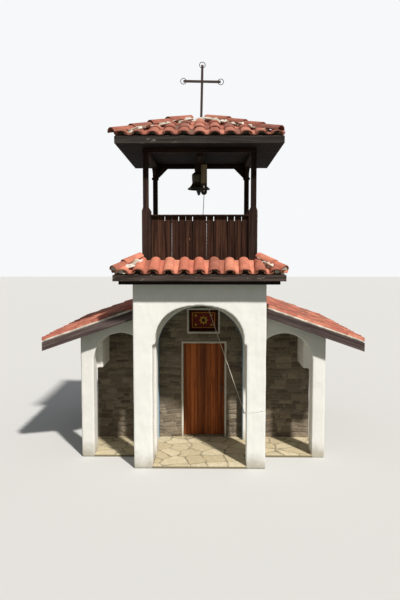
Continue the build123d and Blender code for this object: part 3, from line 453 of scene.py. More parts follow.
def shade_blue_mask(tree, place):
    """1 on faces that look sideways or down between the rear arch's two faces, inside its opening: there the
    blue painted shade goes.
    """
    axes = axes_of(tree, place)
    faces = axes_of(tree, tree.nodes.new("ShaderNodeNewGeometry").outputs["Normal"])
    middle_y = float(REAR_ARCH[0][1] + REAR_ARCH[1][1]) / 2
    half_y = float(REAR_ARCH[1][1] - REAR_ARCH[0][1]) / 2
    off_x = maths(tree, "ABSOLUTE", maths(tree, "SUBTRACT", axes["X"], float(TOWER_X)))
    off_y = maths(tree, "ABSOLUTE", maths(tree, "SUBTRACT", axes["Y"], middle_y))
    inside = maths(tree, "LESS_THAN", off_x, REVEAL_HALF)
    inside = maths(tree, "MULTIPLY", inside, maths(tree, "LESS_THAN", off_y, half_y - 0.006))
    return maths(tree, "MULTIPLY", inside, maths(tree, "LESS_THAN", maths(tree, "ABSOLUTE", faces["Y"]), 0.7))


def crack_mask(tree, place):
    """A hair crack across the right pillar's face: near a sloping line that noise makes jagged."""
    axes = axes_of(tree, place)
    jagged = noise(tree, place, 14.0, 5.0, 0.7)
    line = maths(tree, "MULTIPLY_ADD", maths(tree, "SUBTRACT", axes["X"], CRACK_START[0]),
                 CRACK_RISE, CRACK_START[1])
    line = maths(tree, "MULTIPLY_ADD", maths(tree, "SUBTRACT", jagged, 0.5), 0.09, line)
    off = maths(tree, "ABSOLUTE", maths(tree, "SUBTRACT", axes["Z"], line))
    near = ramp(tree, off, CRACK_HALF * 0.4, CRACK_HALF, 1.0, 0.0)
    in_front = ramp(tree, axes["Y"], FRONT_Y + 0.02, FRONT_Y + 0.04, 1.0, 0.0)
    to_right = ramp(tree, axes["X"], CRACK_START[0], CRACK_START[0] + 0.02)
    return maths(tree, "MULTIPLY", near, maths(tree, "MULTIPLY", in_front, to_right))


print("crack starts at", CRACK_START)

# %% Plaster finishes
def plaster(name, white, on_tower=False):
    """Brushed limewash on a hand-laid coat: soft mottles, rain streaks, earth splashed at its foot.

    The tower's coat also has a hair crack, and blue painted shade on the inner faces of its rear arch.
    """
    material, tree, shader = new_finish(name)
    place = object_place(tree)
    mottle = ramp(tree, noise(tree, place, 3.2, 6.0, 0.62), 0.3, 0.72)
    coat = blend(tree, mottle, dark_of(white, 0.93), white)
    grime = add_node(tree, "ShaderNodeGroup", {"Place": place, "Rise": 0.32}, node_tree=grime_group).outputs
    coat = stain(tree, coat, spots(tree, place, 26.0, 0.12), 0.5, rgb(206, 200, 188))
    coat = stain(tree, coat, grime["Streaks"], 0.12, rgb(186, 180, 168))
    coat = stain(tree, coat, grime["Mask"], 0.62, rgb(158, 146, 120))
    brushed = noise(tree, stretched(tree, place, (1.0, 1.0, 0.35)), 60.0, 5.0, 0.6)
    relief = maths(tree, "MULTIPLY_ADD", noise(tree, place, 9.0, 3.0, 0.5), 2.5, brushed)
    if on_tower:
        # Painted shade: sky-lit blue on the inner faces of the rear arch.
        coat = blend(tree, shade_blue_mask(tree, place), coat, PAINTED_SHADE_BLUE)
        crack = crack_mask(tree, place)
        coat = stain(tree, coat, crack, 0.75, CRACK_COLOUR)
        relief = maths(tree, "SUBTRACT", relief, maths(tree, "MULTIPLY", crack, 1.5))
    dress(tree, shader, coat, 0.88, relief, 0.0016)
    return material


tower_plaster = plaster("tower_plaster", rgb(246, 245, 241), on_tower=True)
porch_plaster = plaster("porch_plaster", rgb(240, 238, 233))
band_plaster = plaster("surround_plaster", rgb(214, 208, 196))
print("plaster finishes ready")

# %% [markdown]
# ## Stone, clay and mortar
#
# The stones are split fieldstone in tones of grey and brown: partly the stones' own tone, and partly
# painted shade, for they are darker than the pale grey that sunlit stone shows. The tiles are fired clay
# with pale lichen and dark algae on it, the mortar crumbly lime. The mesh tells the finish which stone or
# tile a point belongs to, so that neighbours differ in tone while the grit and the weather run on over
# all of them.

# %% Stone, clay and mortar finishes
def stone(name, dark, light, warm, mortar, depth=0.002, plain=False):
    """Split stones in mortar: the mesh tells stone from mortar and gives each stone its own tone.

    plain is for a flat wall, whose mesh tells nothing: there Voronoi cells stand for the stones.
    """
    material, tree, shader = new_finish(name)
    place = object_place(tree)
    if plain:
        cells = {"Vector": stretched(tree, place, (4.2, 4.2, 9.5)), "Scale": 1.0, "Randomness": 0.85}
        nearest = add_node(tree, "ShaderNodeTexVoronoi", cells)
        joint = add_node(tree, "ShaderNodeTexVoronoi", cells, feature="DISTANCE_TO_EDGE")
        tone = axes_of(tree, nearest.outputs["Color"])["X"]
        is_stone = ramp(tree, joint.outputs["Distance"], 0.04, 0.10)
    else:
        tone = attribute(tree, "tone")
        is_stone = attribute(tree, "stone")
    grit = noise(tree, place, 34.0, 6.0, 0.65)
    streak = noise(tree, stretched(tree, place, (1.0, 1.0, 2.6)), 9.0, 4.0, 0.6, 0.5)
    body = blend(tree, ramp(tree, streak, 0.42, 0.72, 0.0, 0.6), blend(tree, tone, dark, light), warm)
    body = shade(tree, body, ramp(tree, grit, 0.3, 0.7, 0.78, 1.12))
    body = stain(tree, body, spots(tree, place, 11.0, 0.25), 0.55, rgb(176, 172, 158))
    filling = blend(tree, ramp(tree, grit, 0.35, 0.7), dark_of(mortar, 0.8), mortar)
    relief = maths(tree, "ADD", grit, maths(tree, "MULTIPLY", streak, 0.6))
    dress(tree, shader, blend(tree, is_stone, filling, body), 0.92, relief, depth)
    return material


def clay(name, orange, red, old, pale_cover, dark_cover):
    """Fired clay: a tone for each tile, darker at the weather end, with pale lichen and dark algae."""
    material, tree, shader = new_finish(name)
    place = object_place(tree)
    tone = attribute(tree, "tone")
    fired = blend(tree, ramp(tree, tone, 0.0, 0.7), orange, red)
    fired = blend(tree, ramp(tree, tone, 0.72, 1.0), fired, old)
    fired = shade(tree, fired, ramp(tree, noise(tree, place, 7.0, 5.0, 0.6), 0.3, 0.7, 0.78, 1.1))
    fired = blend(tree, ramp(tree, attribute(tree, "tip"), 0.0, 0.25, 0.45, 0.0), fired, dark_of(red, 0.55))
    fired = stain(tree, fired, spots(tree, place, 10.0, dark_cover), 0.6, rgb(86, 66, 56))
    lichen = spots(tree, stretched(tree, place, (1.3, 1.1, 1.2)), 23.0, pale_cover)
    fired = stain(tree, fired, lichen, 0.75, rgb(212, 196, 176))
    dress(tree, shader, fired, 0.85, noise(tree, place, 120.0, 4.0, 0.6), 0.0012)
    return material


def rough_mortar(name, pale, dirty):
    """Lime mortar pressed by hand: crumbly, dirty in its hollows."""
    material, tree, shader = new_finish(name)
    place = object_place(tree)
    crumbs = noise(tree, place, 55.0, 6.0, 0.7)
    mix = blend(tree, ramp(tree, noise(tree, place, 8.0, 4.0, 0.6), 0.35, 0.68), dirty, pale)
    mix = blend(tree, ramp(tree, crumbs, 0.3, 0.5, 0.5, 0.0), mix, dark_of(dirty, 0.6))
    dress(tree, shader, mix, 0.95, crumbs, 0.004)
    return material


# Painted shade: these wall tones are darker than the stone's own pale grey, to stand for the shade that most
# of the walls lie in.
SHADE_DARKENED_WALL_TONES = (rgb(92, 83, 72), rgb(152, 140, 122), rgb(128, 109, 89), rgb(140, 130, 115))
PAVING_TONES = (rgb(188, 174, 142), rgb(218, 206, 176), rgb(204, 184, 144), rgb(146, 136, 112))
shade_darkened_wall_stone = stone("rubble_stone", *SHADE_DARKENED_WALL_TONES)
shade_darkened_inner_stone = stone("shade_darkened_inner_stone", *SHADE_DARKENED_WALL_TONES, plain=True)
paving_stone = stone("flagstone", *PAVING_TONES)
gable_clay = clay("gable_tile", rgb(200, 130, 106), rgb(176, 104, 88), rgb(126, 94, 80), 0.22, 0.30)
skirt_clay = clay("skirt_tile", rgb(216, 142, 116), rgb(198, 120, 98), rgb(166, 106, 88), 0.10, 0.16)
upper_clay = clay("upper_tile", rgb(192, 128, 108), rgb(164, 102, 86), rgb(118, 90, 80), 0.24, 0.36)
pale_mortar = rough_mortar("pale_mortar", rgb(226, 220, 208), rgb(176, 166, 150))
grey_mortar = rough_mortar("grey_mortar", rgb(150, 142, 130), rgb(92, 84, 76))
print("masonry finishes ready")

# %% [markdown]
# ## Iron, bronze, paint and rope
#
# The iron is old and rusty, the bell's bronze dark with patina, the niche's panel painted in dull red
# and gold. Metal is bright only where the rust has not taken it, so one mask of spots drives its colour,
# its roughness and how metallic it is.

# %% Metal, paint and rope finishes
def metal(name, bare, rust, rust_cover, rough, depth=0.0006):
    """Weathered metal: bare colour where it is rubbed, rust or patina in clouds."""
    material, tree, shader = new_finish(name)
    place = object_place(tree)
    rusted = spots(tree, place, 18.0, rust_cover)
    pits = noise(tree, place, 160.0, 5.0, 0.65)
    colour = shade(tree, blend(tree, rusted, bare, rust), ramp(tree, pits, 0.3, 0.7, 0.75, 1.15))
    dress(tree, shader, colour, ramp(tree, rusted, 0.0, 1.0, rough, 0.85), pits, depth, 0.35)
    plug(tree, shader.inputs["Metallic"], ramp(tree, rusted, 0.0, 1.0, 0.8, 0.1))
    return material


def cloudy(name, first, second, cloud, step, rough, tooth, depth):
    """Two tones in clouds over a fine tooth: cloud is the scale and detail, step the range of the mix."""
    material, tree, shader = new_finish(name)
    place = object_place(tree)
    colour = blend(tree, ramp(tree, noise(tree, place, *cloud), *step), first, second)
    dress(tree, shader, colour, rough, noise(tree, place, tooth, 3.0, 0.6), depth)
    return material


def paint(name, colour, worn_colour):
    """Old paint on wood, dull and a little patchy."""
    return cloudy(name, colour, worn_colour, (30.0, 5.0, 0.6), (0.4, 0.75, 0.0, 0.5), 0.6, 220.0, 0.0004)


iron = metal("iron", rgb(70, 68, 70), rgb(104, 72, 54), 0.45, 0.5)
cross_iron = metal("cross_iron", rgb(50, 46, 48), rgb(64, 52, 48), 1.0, 0.7)
worn_metal = metal("worn_metal", rgb(232, 228, 218), rgb(190, 180, 164), 0.3, 0.35)
bronze = metal("bell_bronze", rgb(54, 48, 38), rgb(46, 56, 52), 0.4, 0.5)
panel_red = paint("panel_red", rgb(116, 34, 26), rgb(84, 26, 22))
panel_gold = paint("panel_gold", rgb(212, 168, 62), rgb(168, 122, 44))
panel_dark = paint("panel_dark", rgb(58, 30, 26), rgb(44, 24, 22))
fibre_rope = cloudy("rope", rgb(176, 164, 142), rgb(222, 214, 196), (90.0, 5.0, 0.7), (0.3, 0.7),
                    0.9, 700.0, 0.0008)
print("materials:", len(bpy.data.materials))

# %% [markdown]
# ## The bell rope
#
# A rope of 14 mm hangs from the pulley block beside the bell, passes a hole in the belfry floor and runs
# at a slant to a hook on the right pillar. It is pulled tight, so it is nearly two straight runs with one
# wide turn between them. A smooth spline carries it: a point on each straight run close to the turn keeps
# the runs straight. Three strands lie round that line, as on a laid rope. A round bevel on the curve would
# be quicker, but it gives a plain tube.

# %% The rope's line
ROPE_DIAMETER = 0.014
ROPE_STRAND_TURN = 0.075
ROPE_ROUTE = [
    (0.019, -1.3060, 5.0300),
    (-0.0559, -1.3060, 3.5200),
    (-0.0650, -1.3060, 3.3400),
    (-0.0137, -1.3506, 3.1950),
    (0.7710, -2.0320, 0.9800),
]


def spline_line(name, route, samples=24):
    """The smooth line of a route: an open spline of order three that starts and ends at its ends."""
    curve = bpy.data.curves.new(name, "CURVE")
    curve.dimensions = "3D"
    curve.resolution_u = samples
    spline = curve.splines.new("NURBS")
    spline.points.add(len(route) - 1)
    for point, place in zip(spline.points, route):
        point.co = (*place, 1.0)
    spline.order_u = 3
    spline.use_endpoint_u = True
    carrier = add_object(name, curve)
    line = bpy.data.meshes.new_from_object(carrier)
    points = np.array([vertex.co for vertex in line.vertices])
    bpy.data.objects.remove(carrier)
    return points


rope_line = spline_line("rope_line", ROPE_ROUTE)

# %% [markdown]
# ## Surfaces from arrays
#
# Every new piece is a surface on a grid. A row of the grid is a ring or a line of points, and quads join
# each row to the next. A shape is kept as a dictionary of arrays: its points, its quads, and values that
# belong to points, such as the tone of the board or stone that they lie on. One board could be a scaled
# cube, but a roof has hundreds of tiles, and arrays lay them all in one step.

# %% Grids and closed shapes
def grid_quads(rows, columns, closed=False):
    """Quads that join row i to row i + 1; closed also joins the last column to the first."""
    last = columns if closed else columns - 1
    i, j = np.meshgrid(np.arange(rows - 1), np.arange(last), indexing="ij")
    k = (j + 1) % columns
    ring = np.stack([i * columns + j, i * columns + k, (i + 1) * columns + k, (i + 1) * columns + j], -1)
    return ring.reshape(-1, 4)


def outward(shape):
    """Turn the quads of a closed shape round if they face inwards: its volume is then below zero."""
    a, b, c, d = (shape["points"][shape["quads"][:, k]] for k in range(4))
    volume = np.einsum("ij,ij->i", a, np.cross(b, c)) + np.einsum("ij,ij->i", a, np.cross(c, d))
    if volume.sum() < 0:
        shape["quads"] = shape["quads"][:, ::-1]
    return shape


def closed_body(points, rows, columns, lid=None):
    """A shape of rings of points: each ring is joined to the next, and lids close both ends.

    A lid joins the mirror points of its ring in quads, unless other quads are given for it.
    """
    if lid is None:
        k = np.arange(columns // 2 - 1)
        lid = np.stack([k, k + 1, columns - 2 - k, columns - 1 - k], -1)
    quads = [grid_quads(rows, columns, closed=True), lid[:, ::-1], lid + (rows - 1) * columns]
    return outward({"points": points.reshape(-1, 3), "quads": np.concatenate(quads)})


def ring_body(points, rows, columns):
    """A shape of sections carried once round: each is joined to the next, the last to the first."""
    quads = grid_quads(rows + 1, columns, closed=True) % (rows * columns)
    return outward({"points": points.reshape(-1, 3), "quads": quads})


def round_angles(count):
    """Angles in even steps once round a circle."""
    return np.linspace(0.0, 2 * np.pi, count, endpoint=False)


print("grid helpers ready")

# %% Shapes joined and made into pieces
def gather(shapes):
    """Join shapes into one: each one's quads are renumbered by the points that stand before it."""
    starts = np.cumsum([0] + [len(shape["points"]) for shape in shapes[:-1]])
    joined = {"quads": np.concatenate([shape["quads"] + start for shape, start in zip(shapes, starts)])}
    for key in shapes[0]:
        if key != "quads":
            joined[key] = np.concatenate([shape[key] for shape in shapes])
    return joined


def make_piece(name, shape, finish, body="chapel", sharp=38.0, replaces=()):
    """Put a shape's arrays into a mesh, give it its finish and hang it on its body."""
    points = np.asarray(shape["points"], np.float32)
    quads = np.asarray(shape["quads"], np.int32)
    mesh = bpy.data.meshes.new(name)
    mesh.vertices.add(len(points))
    mesh.vertices.foreach_set("co", points.ravel())
    mesh.loops.add(quads.size)
    mesh.loops.foreach_set("vertex_index", quads.ravel())
    mesh.polygons.add(len(quads))
    mesh.polygons.foreach_set("loop_start", np.arange(0, quads.size, 4, dtype=np.int32))
    mesh.update(calc_edges=True)
    for key, values in shape.items():
        if key not in ("points", "quads"):
            carry(mesh, key, values)
    return finish_piece(name, mesh, finish, body, sharp, replaces)


def carry(mesh, key, values):
    """Store one value or one vector for each point of a mesh."""
    values = np.asarray(values, np.float32)
    kind, field = ("FLOAT", "value") if values.ndim == 1 else ("FLOAT_VECTOR", "vector")
    mesh.attributes.new(key, kind, "POINT").data.foreach_set(field, values.ravel())


def finish_piece(name, mesh, finish, body="chapel", sharp=38.0, replaces=()):
    """Link a mesh as a piece with one finish, on one body, in the place of some nodes.

    Faces that meet at less than the sharp angle are shaded as one smooth surface.
    """
    mesh.polygons.foreach_set("use_smooth", np.ones(len(mesh.polygons), bool))
    mesh.set_sharp_from_angle(angle=math.radians(sharp))
    mesh.materials.clear()
    mesh.materials.append(finish)
    piece = add_object(name, mesh)
    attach(piece, body)
    if replaces:
        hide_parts(*replaces)
    print(name, "faces", len(mesh.polygons))
    return piece


print("piece helpers ready")

# %% Smooth chance waves
def unit(vector):
    """The vector divided by its own length."""
    vector = np.asarray(vector, float)
    return vector / np.linalg.norm(vector)


def ripple(places, wavelength, seed, waves=9):
    """Smooth seeded noise about zero: sine waves that run in chance directions, added up.

    Each wave is sin(2 pi (p . d) / L + a), with d a chance direction, a a chance phase and L between
    0.7 and 1.6 of the wavelength. The sum is divided by the square root of the number of waves.
    """
    rng = np.random.default_rng(seed)
    places = np.atleast_2d(np.asarray(places, float))
    total = np.zeros(len(places))
    for _ in range(waves):
        direction = unit(rng.normal(size=places.shape[1]))
        length = wavelength * rng.uniform(0.7, 1.6)
        total += np.sin(2 * np.pi * (places @ direction) / length + rng.uniform(0, 2 * np.pi))
    return total / math.sqrt(waves)


print("noise helper ready")

# %% The rope as three strands
def laid_rope(line, diameter, turn, around=15):
    """Rings along a line whose radius swells three times round, and turns once in each lay length.

    The ring's radius is R (0.86 + 0.14 cos 3(a - 2 pi s / turn)) at angle a and length s.
    """
    so_far = np.concatenate([[0.0], np.cumsum(np.linalg.norm(np.diff(line, axis=0), axis=1))])
    even = np.arange(0.0, so_far[-1], turn / 12.0)
    even = np.append(even[:-1], so_far[-1])
    centre = np.stack([np.interp(even, so_far, line[:, k]) for k in range(3)], -1)
    ahead = np.gradient(centre, axis=0)
    ahead /= np.linalg.norm(ahead, axis=1, keepdims=True)
    side = np.cross(ahead, [0.0, 1.0, 0.0])
    side /= np.linalg.norm(side, axis=1, keepdims=True)
    over = np.cross(ahead, side)
    angle = round_angles(around)[None, :]
    swell = 0.86 + 0.14 * np.cos(3 * (angle - 2 * np.pi * even[:, None] / turn))
    reach = (diameter / 2 * swell)[..., None]
    aside, above = np.cos(angle)[..., None] * side[:, None], np.sin(angle)[..., None] * over[:, None]
    lid = np.array([[0, k, k + 1, k + 2] for k in range(1, around - 2, 2)])
    return closed_body(centre[:, None] + reach * aside + reach * above, len(even), around, lid)


rope_shape = laid_rope(rope_line, ROPE_DIAMETER, ROPE_STRAND_TURN)
bell_rope = make_piece("pull_rope", rope_shape, fibre_rope, replaces=["bell_rope"])

# %% [markdown]
# ## Boards, and copies of plain nodes
#
# A sawn board is an eight-cornered section carried along a line, a little wavy, each with its own tone.
# Its mesh also carries a grain vector: how far along the board, across it and through it a point lies.
# Where the measured piece has the right shape already, a copy of its mesh gets rounded edges from a Bevel
# modifier and the same grain vector, measured along the longest side of each loose part. Unwrapping each
# board for a picture of wood would take far longer and show its seams.

# %% A board
def board(start, end, across, width, thick, rng, rings=6, chamfer=0.004, wave=0.0012):
    """A board from start to end: section corners stand at half the width and half the thickness,
    cut off by the chamfer, and each corner wanders by the wave from ring to ring."""
    start, end = np.asarray(start, float), np.asarray(end, float)
    along = unit(end - start)
    across = unit(np.asarray(across, float) - along * np.dot(across, along))
    through = np.cross(along, across)
    a, b = width / 2, thick / 2
    c = min(chamfer, 0.4 * b)
    section = np.array([(a, c - b), (a, b - c), (a - c, b), (c - a, b), (-a, b - c), (-a, c - b),
                        (c - a, -b), (a - c, -b)])
    wander = np.roll(np.repeat(rng.uniform(-wave, 0.0, (rings, 4, 2)), 2, axis=1), 1, axis=1)
    corner = section[None] + wander * np.sign(section)[None]
    share = np.linspace(0.0, 1.0, rings)[:, None, None]
    points = start + share * (end - start) + corner[..., :1] * across + corner[..., 1:] * through
    shape = closed_body(points, rings, 8, np.array([[0, 1, 2, 3], [0, 3, 4, 7], [4, 5, 6, 7]]))
    length = np.linalg.norm(end - start)
    grain = np.concatenate([share * length + np.zeros_like(corner[..., :1]), corner], -1)
    shape["tone"] = np.full(rings * 8, rng.uniform())
    shape["grain"] = grain.reshape(-1, 3) + rng.uniform(0, 40, 3)
    return shape


print("board helper ready")

# %% Loose parts of a mesh and their grain
def loose_parts(count, edges):
    """Number the loose parts: every point takes the lowest point number that edges lead to."""
    label = np.arange(count)
    while True:
        before = label.copy()
        low = np.minimum(label[edges[:, 0]], label[edges[:, 1]])
        np.minimum.at(label, edges[:, 0], low)
        np.minimum.at(label, edges[:, 1], low)
        label = label[label]
        if (label == before).all():
            return np.unique(label, return_inverse=True)[1]


def grain_of(points, part, rng):
    """Grain vector and tone: each loose part is measured along its main direction first.

    The main directions are the eigenvectors of the part's spread, the sum of outer products about its
    middle, so a sloping board has its grain along the slope.
    """
    grain = np.zeros_like(points)
    tone = np.zeros(len(points))
    for number in range(part.max() + 1):
        chosen = part == number
        centred = points[chosen] - points[chosen].mean(axis=0)
        directions = np.linalg.eigh(centred.T @ centred)[1][:, ::-1]
        grain[chosen] = centred @ directions + rng.uniform(0, 40, 3)
        tone[chosen] = rng.uniform()
    return grain, tone


def joined_nodes(nodes):
    """The measured meshes of some nodes in one bmesh, with doubled points merged."""
    joined = bmesh.new()
    for node in nodes:
        joined.from_mesh(NODES[node].data)
    bmesh.ops.remove_doubles(joined, verts=joined.verts, dist=1e-5)
    return joined


def softened(name, nodes, finish, edge=0.004):
    """Copies of nodes as one piece: doubles merged, flat faces joined, edges rounded by a bevel."""
    joined = joined_nodes(nodes)
    bmesh.ops.dissolve_limit(joined, angle_limit=math.radians(1.0), verts=joined.verts, edges=joined.edges)
    joined.verts.index_update()
    points = np.array([vertex.co for vertex in joined.verts])
    edges = np.array([[vertex.index for vertex in line.verts] for line in joined.edges])
    faces = [[vertex.index for vertex in face.verts] for face in joined.faces]
    joined.free()
    mesh = bpy.data.meshes.new(name)
    mesh.from_pydata(points.tolist(), [], faces)
    grain, tone = grain_of(points, loose_parts(len(points), edges), np.random.default_rng(1))
    carry(mesh, "grain", grain)
    carry(mesh, "tone", tone)
    piece = finish_piece(name, mesh, finish, replaces=nodes)
    bevel = piece.modifiers.new("edges", "BEVEL")
    bevel.width = edge
    bevel.segments = 2
    bevel.limit_method = "ANGLE"
    bevel.angle_limit = math.radians(30.0)
    bevel.use_clamp_overlap = True
    return piece


print("copy helpers ready")

# %% [markdown]
# ## Barrel tiles
#
# A roof here is two layers of tapered half pipes. The lower layer, the pans, lies open side up on the
# boards. The upper layer, the covers, bridges the joints between pans. One tile is worked out once as a
# small closed shell, and whole arrays of places then carry it over a slope. Tiles that reach over a hip
# are cut there: points past the hip slide back along the slope onto the hip's line. Instances of one tile
# would be lighter, but they could not be cut, and all would have one tone.

# %% One tile
TILE_THICK = 0.014
TILE_PITCH = 0.265
TILE_START = 0.048
COVER = {"half": (0.108, 0.088), "rise": (0.084, 0.070)}
FLAT_COVER = {"half": (0.108, 0.088), "rise": (0.068, 0.058)}
PAN = {"half": (0.088, 0.104), "rise": (0.050, 0.060)}
PAN_LIFT = (0.014, 0.002)


def barrel(half, rise, length, pan=False, arc=8, stations=3):
    """A tapered half pipe: x = h cos a, z = r sin a for a from 0 to pi, with h and r changing evenly from
    the low end to the high end; an inner arc one thickness smaller closes it. A pan is turned over."""
    angle = np.linspace(0.0, np.pi, arc + 1)
    share = np.linspace(0.0, 1.0, stations)[:, None]
    h = half[0] + share * (half[1] - half[0])
    r = rise[0] + share * (rise[1] - rise[0])
    outer = np.stack([h * np.cos(angle), share * length + 0 * angle, r * np.sin(angle)], -1)
    inner = np.stack([(h - TILE_THICK) * np.cos(angle), share * length + 0 * angle,
                      (r - TILE_THICK) * np.sin(angle)], -1)
    ring = np.concatenate([outer, inner[:, ::-1]], 1)
    if pan:
        ring[..., 2] = r - ring[..., 2]
    return closed_body(ring, stations, 2 * (arc + 1))


print("points on one cover:", len(barrel(COVER["half"], COVER["rise"], 0.42)["points"]))

# %% A slope full of tiles
def lay(tile, length, u, v, low, high, turn, tone, slope, limit=None):
    """Carry one tile to many places on a slope.

    u and v say where each tile's low end stands across and up the slope, low and high how far its ends
    lift off the boards, turn how it is twisted. slope is the origin and the three directions across,
    up and out. limit gives, for a place across, how far up the slope a tile may reach.
    """
    x, y, z = (tile["points"][:, k][None] for k in range(3))
    cos, sin = np.cos(turn)[:, None], np.sin(turn)[:, None]
    across = x * cos - y * sin + u[:, None]
    up = x * sin + y * cos + v[:, None]
    out = z + low[:, None] + (high - low)[:, None] * (y / length)
    if limit is not None:
        up = np.minimum(up, limit(across))
    origin, *axes = slope
    points = origin + across[..., None] * axes[0] + up[..., None] * axes[1] + out[..., None] * axes[2]
    count, size = across.shape
    quads = tile["quads"][None] + (np.arange(count) * size)[:, None, None]
    return {
        "points": points.reshape(-1, 3),
        "quads": quads.reshape(-1, 4),
        "tone": np.repeat(tone, size),
        "tip": np.tile(tile["points"][:, 1] / length, count),
    }


def tile_slope(slope, columns, run, length, exposure, rng, limit=None, covers=FLAT_COVER,
               lifts=(0.024, 0.012)):
    """Pans and covers over one slope: columns are the covers' places across, run the slope's length."""
    courses = max(1, int(math.ceil((run - TILE_START - 0.06) / exposure)))
    cover = barrel(covers["half"], covers["rise"], length)
    pan = barrel(PAN["half"], PAN["rise"], length, pan=True)
    half_pitch = (columns[1] - columns[0]) / 2
    pan_columns = columns[:-1] + half_pitch
    layers = []
    for tile, places, (low, high) in ((pan, pan_columns, PAN_LIFT), (cover, columns, lifts)):
        u, v = np.meshgrid(places, TILE_START + np.arange(courses) * exposure)
        u, v = u.ravel(), v.ravel()
        count = len(u)
        u = u + rng.normal(0, 0.004, count)
        inner = v > TILE_START + 0.01
        v = v + np.where(inner, rng.normal(0, 0.010, count), rng.uniform(0, 0.012, count))
        lift = rng.normal(0, 0.003, count)
        turn = rng.normal(0, 0.014, count)
        tone = rng.uniform(size=count)
        keep = np.ones(count, bool)
        if limit is not None:
            keep = v + 0.03 < limit(u)
        shape = lay(tile, length, u[keep], v[keep], (low + lift)[keep], (high + lift)[keep], turn[keep],
                    tone[keep], slope, limit)
        layers.append(shape)
    return layers


print("tile helpers ready")

# %% Mortar: plugs in the eaves, bedding along the hips and ridges
PLUG_LEVEL = 0.012
PLUG_THICK = 0.03


def plugs(slope, u, v, half, rise, thick, rng, across=9):
    """Half-moon plugs in the low ends of covers: height r sqrt(1 - x^2) over the width, closed all round."""
    x = np.linspace(-1.0, 1.0, across)
    top = rise * np.sqrt(np.maximum(0.0, 1.0 - x ** 2)) * 0.97 + 0.001
    shapes = []
    origin, a, b, n = slope
    for place, start in zip(u, v):
        bulge = rng.uniform(-0.006, 0.004, across)
        front = start + bulge
        back = start + thick + 0 * x
        rows = []
        for depth, level in ((front, 0 * x), (front, top), (back, top), (back, 0 * x)):
            row = origin + (place + half * x)[:, None] * a + depth[:, None] * b
            rows.append(row + (level + PLUG_LEVEL)[:, None] * n)
        shapes.append(closed_body(np.stack(rows, 1), across, 4))
    return gather(shapes)


def bedding(path, over, width, height, seed, around=10, step=0.03, rough=0.35):
    """A hand-pressed roll of mortar along a straight path: rings of an uneven flat oval.

    The ring at length s is w (1 + rough n) cos a across and h (1 + rough n) sin a upwards, where n is
    smooth noise over the surface, and both ends shrink to nearly nothing.
    """
    path = np.asarray(path, float)
    span = np.linalg.norm(path[1] - path[0])
    rows = max(4, int(span / step))
    share = np.linspace(0.0, 1.0, rows)
    along = unit(path[1] - path[0])
    over = unit(np.asarray(over, float) - along * np.dot(over, along))
    side = np.cross(along, over)
    s, a = np.meshgrid(share * span, round_angles(around), indexing="ij")
    flat = np.stack([s.ravel(), width * np.cos(a).ravel(), width * np.sin(a).ravel()], -1)
    swell = 1.0 + rough * ripple(flat, 0.16, seed) + 0.5 * rough * ripple(flat, 0.06, seed + 1)
    swell = np.clip(swell, 0.25, 1.9).reshape(s.shape)
    taper = np.minimum(1.0, np.minimum(share, 1.0 - share) / 0.06 + 0.08)[:, None]
    x = width * np.cos(a) * swell * taper
    z = height * np.sin(a) * swell * taper
    centre = path[0] + share[:, None] * (path[1] - path[0])
    return closed_body(centre[:, None] + x[..., None] * side + z[..., None] * over, rows, around)


print("mortar helpers ready")

# %% [markdown]
# ## The gable roof
#
# Seventeen columns of covers cross each slope, with a cover at both verges. The slopes stop at the
# ridge, and in front they stop at the tower's walls, so one limit tells for every place along the eave
# how far up a tile may reach. Boards about 15 cm wide lie under the tiles. An Array modifier would space
# the tiles evenly, but a tiler never does: each tile here is shifted, lifted and turned a little.

# %% Slopes of the gable roof
GABLE_SLOPE = 0.348
TILE_LENGTH = 0.42
TILE_EXPOSURE = 0.335
GABLE_COLUMNS = 17
VERGE_INSET = 0.022
TOWER_LOW, TOWER_HIGH = corners("tower_side_walls")
TOWER_REAR_Y = corners("tower_rear_wall")[1][1]
stretch = math.hypot(1.0, GABLE_SLOPE)
rng = np.random.default_rng(11)


def slope_frame(origin, down, rise):
    """Origin at the eave, then the directions across, up the slope and out of it. down points level and
    away from the ridge; rise is the height gained for each metre of run."""
    up = unit(np.array([-down[0], -down[1], rise]))
    out = unit(np.array([down[0] * rise, down[1] * rise, 1.0]))
    return np.asarray(origin, float), np.cross(up, out), up, out


gable_tiles, eave_mortar = [], []
for side, node in ((-1.0, "roof_tiles_left"), (1.0, "roof_tiles_right")):
    low, high = corners(node)
    eave_x = high[0] if side > 0 else low[0]
    middle_y = (low[1] + high[1]) / 2
    slope = slope_frame((eave_x, middle_y, low[2]), (side, 0.0), GABLE_SLOPE)
    wall_x = TOWER_HIGH[0] if side > 0 else TOWER_LOW[0]
    whole_run = abs(eave_x) * stretch - 0.015
    short_run = abs(eave_x - wall_x) * stretch - 0.006

    def reach(across, middle=middle_y, turn=side, full=whole_run, part=short_run):
        """How far up the slope a tile may go: to the ridge, or to the tower's wall beside it."""
        place = middle + turn * across
        return np.where(place < TOWER_REAR_Y + 0.004, part, full)

    half_width = (high[1] - low[1]) / 2 - COVER["half"][0] - VERGE_INSET
    columns = np.linspace(-half_width, half_width, GABLE_COLUMNS)
    gable_tiles += tile_slope(slope, columns, whole_run, TILE_LENGTH, TILE_EXPOSURE, rng, reach)
    inset = np.full(GABLE_COLUMNS, TILE_START + 0.06)
    eave_mortar.append(plugs(slope, columns, inset, FLAT_COVER["half"][0] - 0.02,
                             FLAT_COVER["rise"][0] - 0.010, PLUG_THICK, rng))
make_piece("gable_barrel_tiles", gather(gable_tiles), gable_clay,
           replaces=["roof_tiles_left", "roof_tiles_right"])
make_piece("gable_eave_mortar", gather(eave_mortar), grey_mortar)

